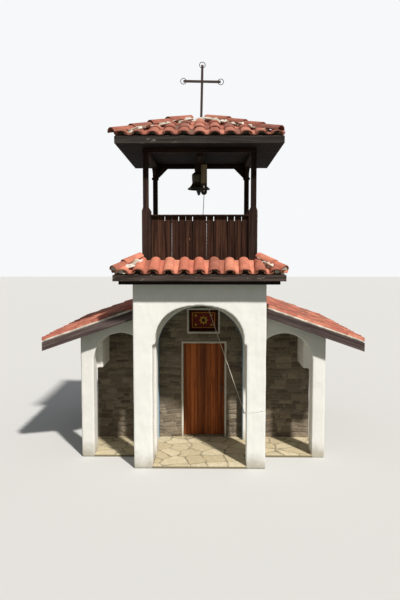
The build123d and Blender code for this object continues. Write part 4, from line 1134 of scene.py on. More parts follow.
# %% Ridge tiles and their bedding
RIDGE_TILE = {"half": (0.118, 0.100), "rise": (0.092, 0.078)}
RIDGE_TILE_LENGTH = 0.425
RIDGE_TILES = 6
ridge_low, ridge_high = corners("roof_ridge_tiles")
ridge_z = corners("roof_tiles_right")[1][2]
ridge_step = (ridge_high[1] - ridge_low[1] - RIDGE_TILE_LENGTH - 0.004) / (RIDGE_TILES - 1)
ridge_frame = (np.array([0.0, ridge_low[1], ridge_z]), *np.eye(3))
ridge_tile = barrel(RIDGE_TILE["half"], RIDGE_TILE["rise"], RIDGE_TILE_LENGTH)
starts = np.arange(RIDGE_TILES) * ridge_step
zero = np.zeros(RIDGE_TILES)
ridge_shape = lay(ridge_tile, RIDGE_TILE_LENGTH, zero, starts, zero + 0.006, zero - 0.010,
                  rng.normal(0, 0.012, RIDGE_TILES), rng.uniform(size=RIDGE_TILES), ridge_frame)
make_piece("ridge_barrel_tiles", ridge_shape, gable_clay, replaces=["roof_ridge_tiles"])
bed_ends = [(0.0, y, ridge_z - 0.015) for y in (ridge_low[1] + 0.01, ridge_high[1] - 0.02)]
make_piece("ridge_mortar", bedding(bed_ends, (0, 0, 1), 0.135, 0.045, 31), pale_mortar)

# %% Boards under the tiles and the verge mortar
DECK_BOARD = 0.150
DECK_THICK = 0.036
FILLET_OUT = 0.003
FILLET_LIFT = 0.014
deck_boards, verge_beds = [], []
for side, node in ((-1.0, "roof_deck_left"), (1.0, "roof_deck_right")):
    low, high = corners(node)
    edge_x = high[0] if side > 0 else -low[0]
    wall_x = abs(TOWER_HIGH[0]) if side > 0 else abs(TOWER_LOW[0])
    count = int(edge_x * stretch / DECK_BOARD)
    width = edge_x * stretch / count
    across = np.array([-side, 0.0, GABLE_SLOPE])
    for number in range(count):
        along_slope = (number + 0.5) * width
        x = edge_x - along_slope / stretch
        z = high[2] - GABLE_SLOPE * x - DECK_THICK * stretch / 2 - 0.002
        front_y = low[1] if x - width / 2 > wall_x else TOWER_REAR_Y
        deck_boards.append(board((side * x, front_y, z), (side * x, high[1], z), across, width - 0.003,
                                 DECK_THICK, rng, rings=4))
    for y in (low[1] - FILLET_OUT, high[1] + FILLET_OUT):
        start_x = edge_x - 0.004
        end_x = wall_x + 0.02 if y < 0 else 0.06
        ends = [(side * x, y, high[2] - GABLE_SLOPE * x + FILLET_LIFT) for x in (start_x, end_x)]
        verge_beds.append(bedding(ends, (0, 0, 1), 0.020, 0.020, 41 + int(side) + int(y > 0), rough=0.10))
make_piece("roof_boards", gather(deck_boards), roof_wood,
           replaces=["roof_deck_left", "roof_deck_right"])
make_piece("verge_mortar", gather(verge_beds), pale_mortar)
softened("barge_timbers", ["barge_boards_front", "barge_boards_rear"], barge_wood)
softened("rafter_ends", ["rafter_tails"], roof_wood, 0.005)

# %% [markdown]
# ## The hipped roofs
#
# The skirt roof round the tower and the pyramid over the belfry could each have code of their own. They
# differ only in their sizes, so one function makes both from a table of values. Each of the four slopes
# gets eleven columns of covers, and the tiles near a corner are cut along the hip. Larger barrel tiles
# climb each hip on a thick bed of pale mortar. The skirt is one long course deep. The pyramid's tiles
# stop short of its point, where a cone of mortar holds the cross.

# %% Values of the two hipped roofs
HIP_COLUMNS = 11
HIP_TILE = {"half": (0.096, 0.084), "rise": (0.084, 0.070)}
HIP_LIFT = (0.070, 0.044)
SKIRT_ROOF = {
    "tiles": "skirt_tiles", "hips": "skirt_hip_tiles", "finish": skirt_clay, "rise": 0.51,
    "inner_half": 1.0353, "tile_stop": 1.0353, "exposure": 0.60, "tile_length": 0.53,
    "covers": COVER, "lifts": (0.032, 0.016), "plug_inset": 0.110, "plug_rise": 0.046,
    "hip_count": 2, "hip_length": 0.40, "hip_raise": 0.050,
    "bed": (0.138, 0.060), "bed_level": (0.018, 0.058), "bed_start": 0.05, "bed_rough": 0.34,
    "starts": (0.072, 0.086, 0.080, 0.080), "top_gaps": (0.0, 0.0, 0.0, 0.0), "mouths_filled": True,
}
UPPER_ROOF = {
    "tiles": "upper_tiles", "hips": "upper_hip_tiles", "finish": upper_clay, "rise": 0.414,
    "inner_half": 0.03, "tile_stop": 0.25, "exposure": 0.42, "tile_length": 0.51,
    "covers": FLAT_COVER, "lifts": (0.024, 0.012), "plug_inset": 0.110, "plug_rise": 0.044,
    "hip_count": 4, "hip_length": 0.60, "hip_raise": 0.0,
    "bed": (0.146, 0.040), "bed_level": (0.028, 0.032), "bed_start": 0.22, "bed_rough": 0.48,
    "starts": (0.013, 0.115, 0.060, 0.060), "top_gaps": (0.20, 0.12, 0.16, 0.16), "mouths_filled": False,
}
print("hipped roofs:", SKIRT_ROOF["tiles"], UPPER_ROOF["tiles"])

# %% A hipped roof of barrel tiles
def hipped_roof(name, roof, seed):
    """Four tiled slopes between hips, the hip tiles and all their mortar, from a table of values.

    starts says for the front left, front right, rear right and rear left hip how far its lowest tile
    stands in from the corner, and top_gaps how far below the top of the slope the last one ends.
    hip_raise is how much further off the slope the hip tiles stand at a hip's top than at its foot.
    """
    rng = np.random.default_rng(seed)
    low, high = corners(roof["tiles"])
    centre = (low + high) / 2
    half = (high[0] - low[0]) / 2
    rise = roof["rise"]
    stretch = math.hypot(1.0, rise)
    run = (half - roof["tile_stop"]) * stretch
    layers, plug_shapes, hips, beds = [], [], [], []

    def reach(across):
        """Up to the hip on the near side, and no further than the top of the slope."""
        return np.clip((half - np.abs(across)) * stretch, 0.0, run)

    columns = (np.arange(HIP_COLUMNS) - (HIP_COLUMNS - 1) / 2) * TILE_PITCH
    for level in ((0, -1), (1, 0), (0, 1), (-1, 0)):
        origin = (centre[0] + level[0] * half, centre[1] + level[1] * half, low[2])
        slope = slope_frame(origin, level, rise)
        layers += tile_slope(slope, columns, run, roof["tile_length"], roof["exposure"], rng, reach,
                             roof["covers"], roof["lifts"])
        plug_shapes.append(plugs(slope, columns, np.full(HIP_COLUMNS, TILE_START + roof["plug_inset"]),
                                 roof["covers"]["half"][0] - 0.020, roof["plug_rise"], PLUG_THICK, rng))
    hip_length, count = roof["hip_length"], roof["hip_count"]
    hip_tile = barrel(HIP_TILE["half"], HIP_TILE["rise"], hip_length)
    climb = math.sqrt(2.0 + rise * rise)
    places = zip(((-1, -1), (1, -1), (1, 1), (-1, 1)), roof["starts"], roof["top_gaps"])
    for (sx, sy), start, top_gap in places:
        up = np.array([-sx, -sy, rise]) / climb
        out = unit(np.array([0.0, 0.0, 1.0]) - up * up[2])
        origin = centre + half * np.array([sx, sy, 0.0])
        origin[2] = low[2]
        origin = origin + up * start * climb
        hip_run = (half - roof["inner_half"] - start) * climb - top_gap
        hip_frame = (origin, np.cross(up, out), up, out)
        v = np.linspace(0.0, hip_run - hip_length, count)
        lower = HIP_LIFT[0] + roof["hip_raise"] * v / hip_run + rng.normal(0, 0.003, count)
        upper = HIP_LIFT[1] + roof["hip_raise"] * (v + hip_length) / hip_run
        hips.append(lay(hip_tile, hip_length, rng.normal(0, 0.004, count), v, lower, upper,
                        rng.normal(0, 0.02, count), rng.uniform(size=count), hip_frame))
        level_low, level_high = roof["bed_level"]
        ends = [origin + up * roof["bed_start"] + out * level_low,
                origin + up * (hip_run - 0.02) + out * level_high]
        beds.append(bedding(ends, out, *roof["bed"], seed + 50 + sx + 2 * sy, rough=roof["bed_rough"]))
        if roof["mouths_filled"]:
            mouth = (origin + out * 0.052, *hip_frame[1:])
            beds.append(plugs(mouth, [0.0], [0.016], HIP_TILE["half"][0] - 0.015, 0.068, 0.06, rng))
    make_piece(name + "_barrel_tiles", gather(layers), roof["finish"], replaces=[roof["tiles"]])
    make_piece(name + "_hip_barrels", gather(hips), roof["finish"], replaces=[roof["hips"]])
    make_piece(name + "_hip_mortar", gather(beds), pale_mortar)
    make_piece(name + "_eave_mortar", gather(plug_shapes), grey_mortar)


hipped_roof("skirt", SKIRT_ROOF, 21)
hipped_roof("upper", UPPER_ROOF, 22)

# %% The mortar cone under the cross
APEX_REACH = 0.36
APEX_FALL = 0.45
APEX_FOOT = 0.05


def apex_cone(centre, top, seed, rows=14, around=44):
    """Rings whose height is top - fall r, plus smooth noise and a lump of mortar on the right; the last
    ring turns in under the others."""
    radius = np.append(np.linspace(0.012, APEX_REACH, rows - 1), APEX_REACH - 0.04)
    r, a = np.meshgrid(radius, round_angles(around), indexing="ij")
    x, y = r * np.cos(a), r * np.sin(a)
    lump = 0.048 * np.exp(-((x - 0.13) ** 2 + (y + 0.10) ** 2) / 0.008)
    noise_here = 0.008 * ripple(np.stack([x.ravel(), y.ravel()], -1), 0.12, seed).reshape(r.shape)
    z = top - APEX_FALL * r + lump + noise_here * np.minimum(1.0, r / 0.06)
    z[-1] = z[-2] - APEX_FOOT
    return closed_body(np.stack([centre[0] + x, centre[1] + y, z], -1), rows, around)


upper_low, upper_high = corners("upper_tiles")
cross_foot = corners("cross")[0][2] - 0.055
make_piece("apex_mortar", apex_cone((upper_low + upper_high) / 2, cross_foot, 23), pale_mortar)

# %% Boards of the eaves
def frame_boards(node, thick, rng, rings=8, chamfer=0.004):
    """Four boards on edge round a square: the front and rear ones run through, the sides fit between."""
    low, high = corners(node)
    z = (low[2] + high[2]) / 2
    height = high[2] - low[2]
    shapes = []
    for y in (low[1] + thick / 2, high[1] - thick / 2):
        shapes.append(board((low[0], y, z), (high[0], y, z), (0, 0, 1), height, thick, rng, rings, chamfer))
    for x in (low[0] + thick / 2, high[0] - thick / 2):
        shapes.append(board((x, low[1] + thick, z), (x, high[1] - thick, z), (0, 0, 1), height, thick, rng,
                            rings, chamfer))
    return shapes


FASCIA_THICK = 0.028
SOFFIT_BOARDS = 21
rng = np.random.default_rng(31)
make_piece("skirt_eave_boards", gather(frame_boards("skirt_fascia", FASCIA_THICK, rng)), roof_wood,
           replaces=["skirt_fascia"])
make_piece("upper_eave_boards", gather(frame_boards("upper_fascia", FASCIA_THICK, rng)), eave_wood,
           replaces=["upper_fascia"])
make_piece("belfry_plates", gather(frame_boards("belfry_top_plates", 0.100, rng, 5, 0.006)), belfry_wood,
           replaces=["belfry_top_plates"])

low, high = corners("upper_soffit")
soffit_width = (high[1] - low[1]) / SOFFIT_BOARDS
soffit_boards = []
for number in range(SOFFIT_BOARDS):
    y = low[1] + (number + 0.5) * soffit_width
    z = (low[2] + high[2]) / 2
    soffit_boards.append(board((low[0], y, z), (high[0], y, z), (0, 1, 0), soffit_width - 0.004,
                               high[2] - low[2], rng, 3, 0.003))
# These boards, like the skirt's soffit timbers below, carry that painted shade in their colour.
make_piece("upper_soffit_boards", gather(soffit_boards), painted_shade_soffit_wood,
           replaces=["upper_soffit"])
softened("skirt_soffit_timbers", ["skirt_soffit"], painted_shade_soffit_wood)
softened("skirt_deck_boards", ["skirt_deck"], roof_wood, 0.002)
softened("upper_deck_boards", ["upper_deck"], roof_wood, 0.002)

# %% [markdown]
# ## The belfry
#
# Four posts, four parapets of upright boards with daylight between them, a rail on each, and the floor.
# The posts have their shape in the measured model, so softened copies do. The measured parapets have no
# gaps, and a finish could not let daylight through, so boards take their place, each a little narrower or
# wider than the next. The two rear posts also wear moulded collars.

# %% Posts, floor, braces and beam
softened("belfry_corner_posts", ["belfry_posts"], belfry_wood, 0.007)
softened("belfry_knee_braces", ["belfry_braces"], belfry_wood)
softened("belfry_deck", ["belfry_floor"], belfry_wood, 0.002)
softened("bell_hanger_beam", ["bell_beam"], belfry_wood, 0.005)

# %% Collars of the rear posts
SHAFT_WIDTH = 0.098
SHAFT_SET_BACK = 0.020
COLLAR_PROFILE = [
    (5.455, 0.046), (5.460, 0.056), (5.474, 0.068), (5.488, 0.072), (5.502, 0.068), (5.514, 0.056),
    (5.522, 0.051), (5.580, 0.052), (5.640, 0.057), (5.700, 0.066), (5.740, 0.070), (5.752, 0.070),
    (5.754, 0.046),
]


def collar(x, y, profile, chamfer=0.14):
    """A moulding round a square post: rings of a square with its corners cut, one for each pair of
    height and half width in the profile. The first and last ring lie inside the post."""
    cut = 1.0 - chamfer * 2
    square = np.array([(1, -cut), (1, cut), (cut, 1), (-cut, 1),
                       (-1, cut), (-1, -cut), (-cut, -1), (cut, -1)])
    z, half = np.array(profile).T
    flat = np.array([x, y]) + half[:, None, None] * square
    level = np.broadcast_to(z[:, None, None], (*flat.shape[:2], 1))
    shape = closed_body(np.concatenate([flat, level], -1), len(z), 8)
    shape["grain"] = shape["points"][:, [2, 0, 1]]
    shape["tone"] = np.full(len(shape["points"]), 0.4)
    return shape


posts_low, posts_high = corners("belfry_posts")
from_face = SHAFT_SET_BACK + SHAFT_WIDTH / 2
rear_y = posts_high[1] - from_face
rear_x = (posts_low[0] + from_face, posts_high[0] - from_face)
collars = [collar(x, rear_y, COLLAR_PROFILE) for x in rear_x]
make_piece("rear_post_collars", gather(collars), belfry_wood)

# %% Parapet boards and rails
PARAPET_BOARDS = 14
PARAPET_THICK = 0.026
RAIL_HEIGHT = 0.032
RAIL_WIDTH = 0.126
RAIL_OVERHANG = 0.050
POST_WIDTH = 0.160

low, high = corners("belfry_parapet")
rail_half = (high[0] - low[0]) / 2
face_half = rail_half - RAIL_OVERHANG
clear_half = (posts_high[0] - posts_low[0]) / 2 - POST_WIDTH
centre = (low + high) / 2
pitch = 2 * clear_half / PARAPET_BOARDS
rail_z = high[2] - RAIL_HEIGHT
rng = np.random.default_rng(41)
parapet, rails = [], []
for turn in range(4):
    angle = turn * math.pi / 2
    side = np.array([math.cos(angle), math.sin(angle), 0.0])
    out = np.array([math.sin(angle), -math.cos(angle), 0.0])
    for number in range(PARAPET_BOARDS):
        width = pitch - rng.uniform(0.003, 0.010)
        shift = -clear_half + (number + 0.5) * pitch + rng.uniform(-0.003, 0.003)
        depth = face_half - PARAPET_THICK / 2 - rng.uniform(0.0, 0.005)
        foot = centre + side * shift + out * depth
        lean = side * rng.uniform(-0.004, 0.004)
        start = np.array([foot[0], foot[1], low[2] + 0.002]) - lean
        end = np.array([foot[0], foot[1], rail_z - 0.001]) + lean
        parapet.append(board(start, end, side, width, PARAPET_THICK - 0.002, rng, 7, 0.003))
    middle = centre + out * (rail_half - RAIL_WIDTH / 2)
    middle[2] = rail_z + RAIL_HEIGHT / 2
    start, end = middle - side * clear_half, middle + side * clear_half
    rails.append(board(start, end, out, RAIL_WIDTH, RAIL_HEIGHT, rng, 9, 0.005))
make_piece("parapet_boards", gather(parapet), parapet_wood, replaces=["belfry_parapet"])
make_piece("parapet_rails", gather(rails), belfry_wood)

# %% [markdown]
# ## The plaster coat
#
# The tower and the porch wear one unbroken coat of lime plaster over several measured pieces. Their
# meshes are joined and remade on a fine even lattice, which closes the joints between them and rounds
# every edge as a trowel does. Then each point moves along its normal by smooth noise of two or three
# millimetres, so that the light runs over the walls unevenly. A Bevel on each piece would round its edges
# too, but the joints between the pieces would show.

# %% One coat over several nodes
COAT_LATTICE = 0.021
SHEET_POINTS = 400


def read_all(items, field, width, kind):
    """One field of all points, corners or edges of a mesh, as an array of so many columns."""
    values = np.zeros(len(items) * width, kind)
    items.foreach_get(field, values)
    return values.reshape(-1, width)


def plaster_coat(name, nodes, finish, seed, wave=0.0026):
    """Join nodes, remake their surface on an even lattice, drop tiny loose parts and make it wavy."""
    joined = joined_nodes(nodes)
    rough_mesh = bpy.data.meshes.new(name + "_rough")
    joined.to_mesh(rough_mesh)
    joined.free()
    carrier = add_object(name + "_rough", rough_mesh)
    remesh = carrier.modifiers.new("lattice", "REMESH")
    remesh.mode = "VOXEL"
    remesh.voxel_size = COAT_LATTICE
    coat = bpy.data.meshes.new_from_object(carrier.evaluated_get(bpy.context.evaluated_depsgraph_get()))
    bpy.data.objects.remove(carrier)
    points = read_all(coat.vertices, "co", 3, np.float32).astype(float)
    normals = read_all(coat.vertices, "normal", 3, np.float32)
    quads = read_all(coat.loops, "vertex_index", 1, np.int32).reshape(-1, 4)
    part = loose_parts(len(points), read_all(coat.edges, "vertices", 2, np.int32))
    kept = np.bincount(part)[part] > SHEET_POINTS
    quads = quads[kept[quads].all(axis=1)]
    number = np.cumsum(kept) - 1
    push = wave * (ripple(points, 0.55, seed) + 0.35 * ripple(points, 0.16, seed + 1))
    push = np.where(points[:, 2] < 0.012, 0.0, np.clip(push, -1.6 * wave, 0.7 * wave))
    points = points + normals * push[:, None]
    points[:, 2] = np.maximum(points[:, 2], 0.0)
    bpy.data.meshes.remove(coat)
    shape = {"points": points[kept], "quads": number[quads]}
    return make_piece(name, shape, finish, sharp=180.0, replaces=nodes)


plaster_coat("tower_plaster_coat", [
    "tower_pillars", "tower_arch_wall", "tower_side_walls", "tower_rear_wall", "tower_rear_arch",
    "tower_rear_pilasters",
], tower_plaster, 61)
plaster_coat("porch_plaster_coat", [
    "porch_arch_wall_left", "porch_arch_wall_right", "porch_corner_pillars", "porch_end_walls",
    "porch_inner_piers",
], porch_plaster, 62)

# %% [markdown]
# ## Rubble walls
#
# The nave's walls are split stones laid in rough courses. A function of two numbers, along the wall and
# up it, tells how far each point stands out: it finds the course and the stone that the point belongs
# to, and from the distance to that stone's edges it makes a rounded face over recessed mortar. The
# courses wander, the joints lean, and some stones are split in two. Stones made one by one would need far
# more faces, and a Displace modifier could not tell the finish which point is stone and which mortar.

# %% A smooth step and grid lines
def smooth_step(value, low, high):
    """0 below low, 1 above high, and 3 t^2 - 2 t^3 between them."""
    t = np.clip((value - low) / (high - low), 0.0, 1.0)
    return t * t * (3.0 - 2.0 * t)


def cut_lines(stops, step):
    """Grid lines that pass through every stop, with spaces no wider than the step."""
    pieces = [np.linspace(a, b, max(2, int(math.ceil((b - a) / step)) + 1))[:-1]
              for a, b in zip(stops[:-1], stops[1:])]
    return np.append(np.concatenate(pieces), stops[-1])


print("line helpers ready")

# %% Stones in courses
COURSES = 60


def rubble(across, up, seed, course=(0.075, 0.150), length=(0.11, 0.36), corner=0.030):
    """Height over the wall in metres, tone and stone mask for points along and up a wall.

    With d the distance to the nearest side of the stone, measured round its corners, the face rises from
    the mortar as a smooth step of d. Each stone adds its own lift and slant, and fine ripples.
    """
    rng = np.random.default_rng(seed)
    place = np.stack([across, up], -1)
    u = across + 0.014 * ripple(place, 0.6, seed + 1) + 0.004 * ripple(place, 0.11, seed + 2)
    v = up + 0.016 * ripple(place, 1.0, seed + 3) + 0.004 * ripple(place, 0.12, seed + 4)
    levels = np.cumsum(rng.uniform(*course, COURSES + 1)) - 0.2
    row = np.clip(np.searchsorted(levels, v) - 1, 0, COURSES - 1)
    count = int((np.ptp(across) + 3.0) / length[0])
    far = count * length[1] + 10.0
    joints = across.min() - 1.0 + np.cumsum(rng.uniform(*length, (COURSES, count)), axis=1)
    line = (joints + far * np.arange(COURSES)[:, None]).ravel()
    stone = np.clip(np.searchsorted(line, u + far * row) - 1, 0, len(line) - 2)
    lean = rng.uniform(-0.35, 0.35, len(line))
    middle = (levels[row] + levels[row + 1]) / 2
    left = line[stone] - far * row + lean[stone] * (v - middle)
    right = line[stone + 1] - far * row + lean[stone + 1] * (v - middle)
    split = rng.uniform(size=len(line))[stone] < 0.28
    share = rng.uniform(0.38, 0.62, len(line))[stone]
    seam = levels[row] + share * (levels[row + 1] - levels[row])
    above = split & (v > seam)
    low_edge = np.where(above, seam, levels[row])
    high_edge = np.where(split & ~above, seam, levels[row + 1])
    near_x = np.maximum(0.0, np.minimum(u - left, right - u))
    near_z = np.maximum(0.0, np.minimum(v - low_edge, high_edge - v))
    edge = np.hypot(np.maximum(0.0, corner - near_x), np.maximum(0.0, corner - near_z)) / corner
    face = 1.0 - smooth_step(edge, 0.60, 0.94)
    own = stone + np.where(above, len(line), 0)
    chances = ((0.010, 0.022), (-0.035, 0.035), (-0.05, 0.05), (0.0, 1.0))
    lift, slant_x, slant_z, tone = (rng.uniform(*chance, 2 * len(line))[own] for chance in chances)
    bulge = lift + slant_x * (u - (left + right) / 2) + slant_z * (v - (low_edge + high_edge) / 2)
    bulge = np.clip(bulge + 0.0022 * ripple(place, 0.07, seed + 5), 0.004, 0.026)
    mortar = 0.003 + 0.0012 * ripple(place, 0.05, seed + 6)
    return np.clip(mortar, 0.001, 0.006) + face * bulge, tone, smooth_step(face, 0.25, 0.6)


print("courses that a wall may have:", COURSES)

# %% A skin of stone on one side
def stone_face(name, start, along, span, top, seed, step, openings=()):
    """A skin of rubble on one side of the nave.

    The wall runs from start along a direction for span metres, and out is to its right. top gives its
    height at each place along it, and the grid is cut off there. Both ends lean out to the corner that
    the next side shares. Openings are (left, right, low, high) boxes that stay clear, and the skin thins
    to nothing beside them.
    """
    along = np.asarray(along, float)
    out = np.array([along[1], -along[0], 0.0])
    sides = sorted({0.0, span, *(edge for hole in openings for edge in hole[:2])})
    rises = sorted({0.0, top.max(), *(edge for hole in openings for edge in hole[2:] if edge > 0)})
    s_lines = cut_lines(sides, step)
    z_lines = cut_lines(rises, step)
    s, z = np.meshgrid(s_lines, z_lines, indexing="ij")
    z = np.minimum(z, np.interp(s, np.linspace(0, span, len(top)), top))
    rows, columns = s.shape
    s, z = s.ravel(), z.ravel()
    height, tone, mask = rubble(s + 20.0 * seed, z, seed)
    for left, right, low, high in openings:
        beside = np.maximum(np.maximum(left - s, s - right), np.maximum(low - z, z - high))
        height *= smooth_step(beside, -0.001, 0.014)
        height -= 0.002 * (beside <= 0.001)
    turn = 0.020 + 0.003 * ripple(z[:, None], 0.5, 90)
    for near, sign in ((s, -1.0), (span - s, 1.0)):
        close = 1.0 - smooth_step(near, 0.0, 0.045)
        height = height + (turn - height) * close
        s = s + sign * turn * close * close
    points = np.asarray(start, float) + s[:, None] * along + height[:, None] * out
    points[:, 2] = z
    quads = grid_quads(rows, columns)
    centre_s = s[quads].mean(axis=1)
    centre_z = z[quads].mean(axis=1)
    keep = np.minimum(z[quads[:, 1]] - z[quads[:, 0]], z[quads[:, 2]] - z[quads[:, 3]]) > 1e-4
    for left, right, low, high in openings:
        inside = (centre_s > left) & (centre_s < right) & (centre_z > low) & (centre_z < high)
        keep &= ~inside
    quads = quads[keep]
    flat = np.cross(points[quads[0, 1]] - points[quads[0, 0]], points[quads[0, 2]] - points[quads[0, 0]])
    if flat @ out < 0:
        quads = quads[:, ::-1]
    shape = {"points": points, "quads": quads, "tone": tone, "stone": mask}
    return make_piece(name, shape, shade_darkened_wall_stone, sharp=180.0)


print("stone skins ready")

# %% The nave's four sides
STONE_GRID = 0.0145
STONE_GRID_FAR = 0.018
ROOF_UNDER_Z = corners("nave_wall_rear")[1][2]
WALL_LOW, WALL_HIGH = corners("nave_side_walls")
NAVE_FRONT_Y = corners("nave_front_wall_left")[0][1]
NAVE_REAR_Y = corners("nave_wall_rear")[1][1]
nave_width = WALL_HIGH[0] - WALL_LOW[0]
nave_depth = NAVE_REAR_Y - NAVE_FRONT_Y
gable_x = np.linspace(WALL_LOW[0], WALL_HIGH[0], 81)
gable_top = ROOF_UNDER_Z - GABLE_SLOPE * np.abs(gable_x) - 0.004
eave_top = np.full(2, ROOF_UNDER_Z - GABLE_SLOPE * WALL_HIGH[0] - 0.004)
door_low, door_high = corners("nave_front_wall_over_door")
niche_low, niche_high = corners("niche_frame")
holes = [
    (door_low[0] - WALL_LOW[0], door_high[0] - WALL_LOW[0], -1.0, door_low[2]),
    (niche_low[0] - WALL_LOW[0], niche_high[0] - WALL_LOW[0], niche_low[2], niche_high[2]),
]
stone_face("front_rubble", (WALL_LOW[0], NAVE_FRONT_Y, 0.0), (1, 0, 0), nave_width, gable_top, 71,
           STONE_GRID, holes)
stone_face("right_rubble", (WALL_HIGH[0], NAVE_FRONT_Y, 0.0), (0, 1, 0), nave_depth, eave_top, 72,
           STONE_GRID_FAR)
stone_face("rear_rubble", (WALL_HIGH[0], NAVE_REAR_Y, 0.0), (-1, 0, 0), nave_width, gable_top, 73,
           STONE_GRID_FAR)
stone_face("left_rubble", (WALL_LOW[0], NAVE_REAR_Y, 0.0), (0, -1, 0), nave_depth, eave_top, 74,
           STONE_GRID_FAR)

# %% [markdown]
# ## Flagstones
#
# The porch is paved with broad irregular slabs. Chance points stand for the slabs: each place belongs to
# its nearest point, and where the two nearest are about equally far there is a joint. The slabs rise
# only a few millimetres over the joints, and each lies a little out of level. The Voronoi texture draws
# the same pattern in a finish, but there the slabs would be flat and all as high as their joints.

# %% Slabs round chance points
FLAG_SPACING = 0.42
FLAG_RISE = 0.0075
FLAG_GRID = 0.0135
low, high = corners("porch_floor")
rng = np.random.default_rng(81)
site_x, site_y = np.meshgrid(np.arange(low[0] - 0.3, high[0] + 0.5, FLAG_SPACING),
                             np.arange(low[1] - 0.3, high[1] + 0.5, FLAG_SPACING * 0.86), indexing="ij")
sites = np.stack([site_x.ravel(), site_y.ravel()], -1)
sites += rng.uniform(-0.42, 0.42, sites.shape) * FLAG_SPACING
passage_low = TOWER_X - TOWER_HALF + PILLAR_WIDTH
passage_high = TOWER_X + TOWER_HALF - PILLAR_WIDTH
porch_y = corners("porch_corner_pillars")[0][1]
x_lines = cut_lines([low[0], passage_low, passage_high, high[0]], FLAG_GRID)
y_lines = cut_lines([low[1], porch_y, high[1]], FLAG_GRID)
x, y = np.meshgrid(x_lines, y_lines, indexing="ij")
flat = np.stack([x.ravel(), y.ravel()], -1)
bent = flat + 0.016 * np.stack([ripple(flat, 0.25, 82), ripple(flat, 0.25, 83)], -1)
distance = np.linalg.norm(bent[:, None] - sites[None], axis=2)
nearest = np.argsort(distance, axis=1)[:, :2]
two = np.take_along_axis(distance, nearest, axis=1)
slab = smooth_step(two[:, 1] - two[:, 0], 0.004, 0.036)
tilt = rng.uniform(-0.006, 0.006, (len(sites), 2))[nearest[:, 0]]
level = FLAG_RISE * rng.uniform(0.6, 1.0, len(sites))[nearest[:, 0]]
rise = slab * (level + ((flat - sites[nearest[:, 0]]) * tilt).sum(axis=1))
rise = np.clip(rise + 0.0005 * ripple(flat, 0.06, 84), 0.0003, FLAG_RISE)
print("slabs:", len(sites))

# %% Paving of the porch
def inside_box(places, x_low, x_high, y_low, y_high):
    """How far inside a box each place lies: its least distance to the four sides, below zero outside."""
    in_x = np.minimum(places[:, 0] - x_low, x_high - places[:, 0])
    return np.minimum(in_x, np.minimum(places[:, 1] - y_low, y_high - places[:, 1]))


def inside_floor(places):
    """The porch floor is two boxes, the porch itself and the passage under the tower."""
    return np.maximum(inside_box(places, low[0], high[0], porch_y, high[1]),
                      inside_box(places, passage_low, passage_high, low[1], high[1]))


rise = np.where(inside_floor(flat) < 0.001, -0.002, rise)
quads = grid_quads(*x.shape)[:, ::-1]
quads = quads[inside_floor(flat[quads].mean(axis=1)) > 0]
paving = {
    "points": np.column_stack([flat, high[2] + rise]),
    "quads": quads,
    "tone": rng.uniform(size=len(sites))[nearest[:, 0]],
    "stone": slab,
}
first = paving["points"][paving["quads"][0]]
if np.cross(first[1] - first[0], first[2] - first[0])[2] < 0:
    paving["quads"] = paving["quads"][:, ::-1]
make_piece("porch_flagstones", paving, paving_stone, sharp=180.0)

# %% [markdown]
# ## Door and niche
#
# The door is six upright pine boards in a frame. A band of whitewashed plaster runs round the
# doorway and the niche over it, thicker than the stones stand out: wandering boards give it a hand-made
# edge that a straight box would not have. The niche holds a painted panel in a dark frame: here a plain
# star between diamonds. Masks in the finish could draw it, but thin raised pieces catch the light.

# %% Door boards, frame and plaster bands
DOOR_BOARDS = 6
low, high = corners("door_leaf")
rng = np.random.default_rng(91)
door_boards = []
board_width = (high[0] - low[0]) / DOOR_BOARDS
for number in range(DOOR_BOARDS):
    x = low[0] + (number + 0.5) * board_width
    y = (low[1] + high[1]) / 2
    door_boards.append(board((x, y, low[2]), (x, y, high[2]), (1, 0, 0), board_width - 0.0025,
                             high[1] - low[1] - 0.0005, rng, 9, 0.0060, 0.0006))
make_piece("door_boards", gather(door_boards), door_wood, "door", replaces=["door_leaf"])
softened("door_frame_timbers", ["door_frame"], frame_wood)

BAND_THICK = 0.036
BAND_WIDE = 0.045


def plaster_band(name, node, with_foot, seed):
    """Bands of plaster along the outer edge of a surround node, with wandering edges."""
    low, high = corners(node)
    rng = np.random.default_rng(seed)
    y = high[1] - BAND_THICK / 2
    bars = []
    for x in (low[0] + BAND_WIDE / 2, high[0] - BAND_WIDE / 2):
        bars.append(board((x, y, low[2]), (x, y, high[2]), (1, 0, 0), BAND_WIDE, BAND_THICK, rng,
                          16, 0.010, 0.005))
    levels = [high[2] - BAND_WIDE / 2] + ([low[2] + BAND_WIDE / 2] if with_foot else [])
    for z in levels:
        bars.append(board((low[0] + BAND_WIDE * 0.6, y, z), (high[0] - BAND_WIDE * 0.6, y, z), (0, 0, 1),
                          BAND_WIDE, BAND_THICK - 0.002, rng, 12, 0.010, 0.005))
    make_piece(name, gather(bars), band_plaster, replaces=[node])


plaster_band("door_plaster_band", "door_surround", False, 92)
plaster_band("niche_plaster_band", "niche_surround", True, 93)
softened("niche_picture_frame", ["niche_frame"], niche_wood, 0.006)

# %% The painted panel
PANEL_BORDER = 0.012
PANEL_RAISE = 0.003
FRAME_BAR = 0.038
BORDER_INSET = 0.030
STAR = (8, 0.105, 0.058)
DIAMOND = (4, 0.040, 0.016)
ROUNDEL = (12, 0.040, 0.040)


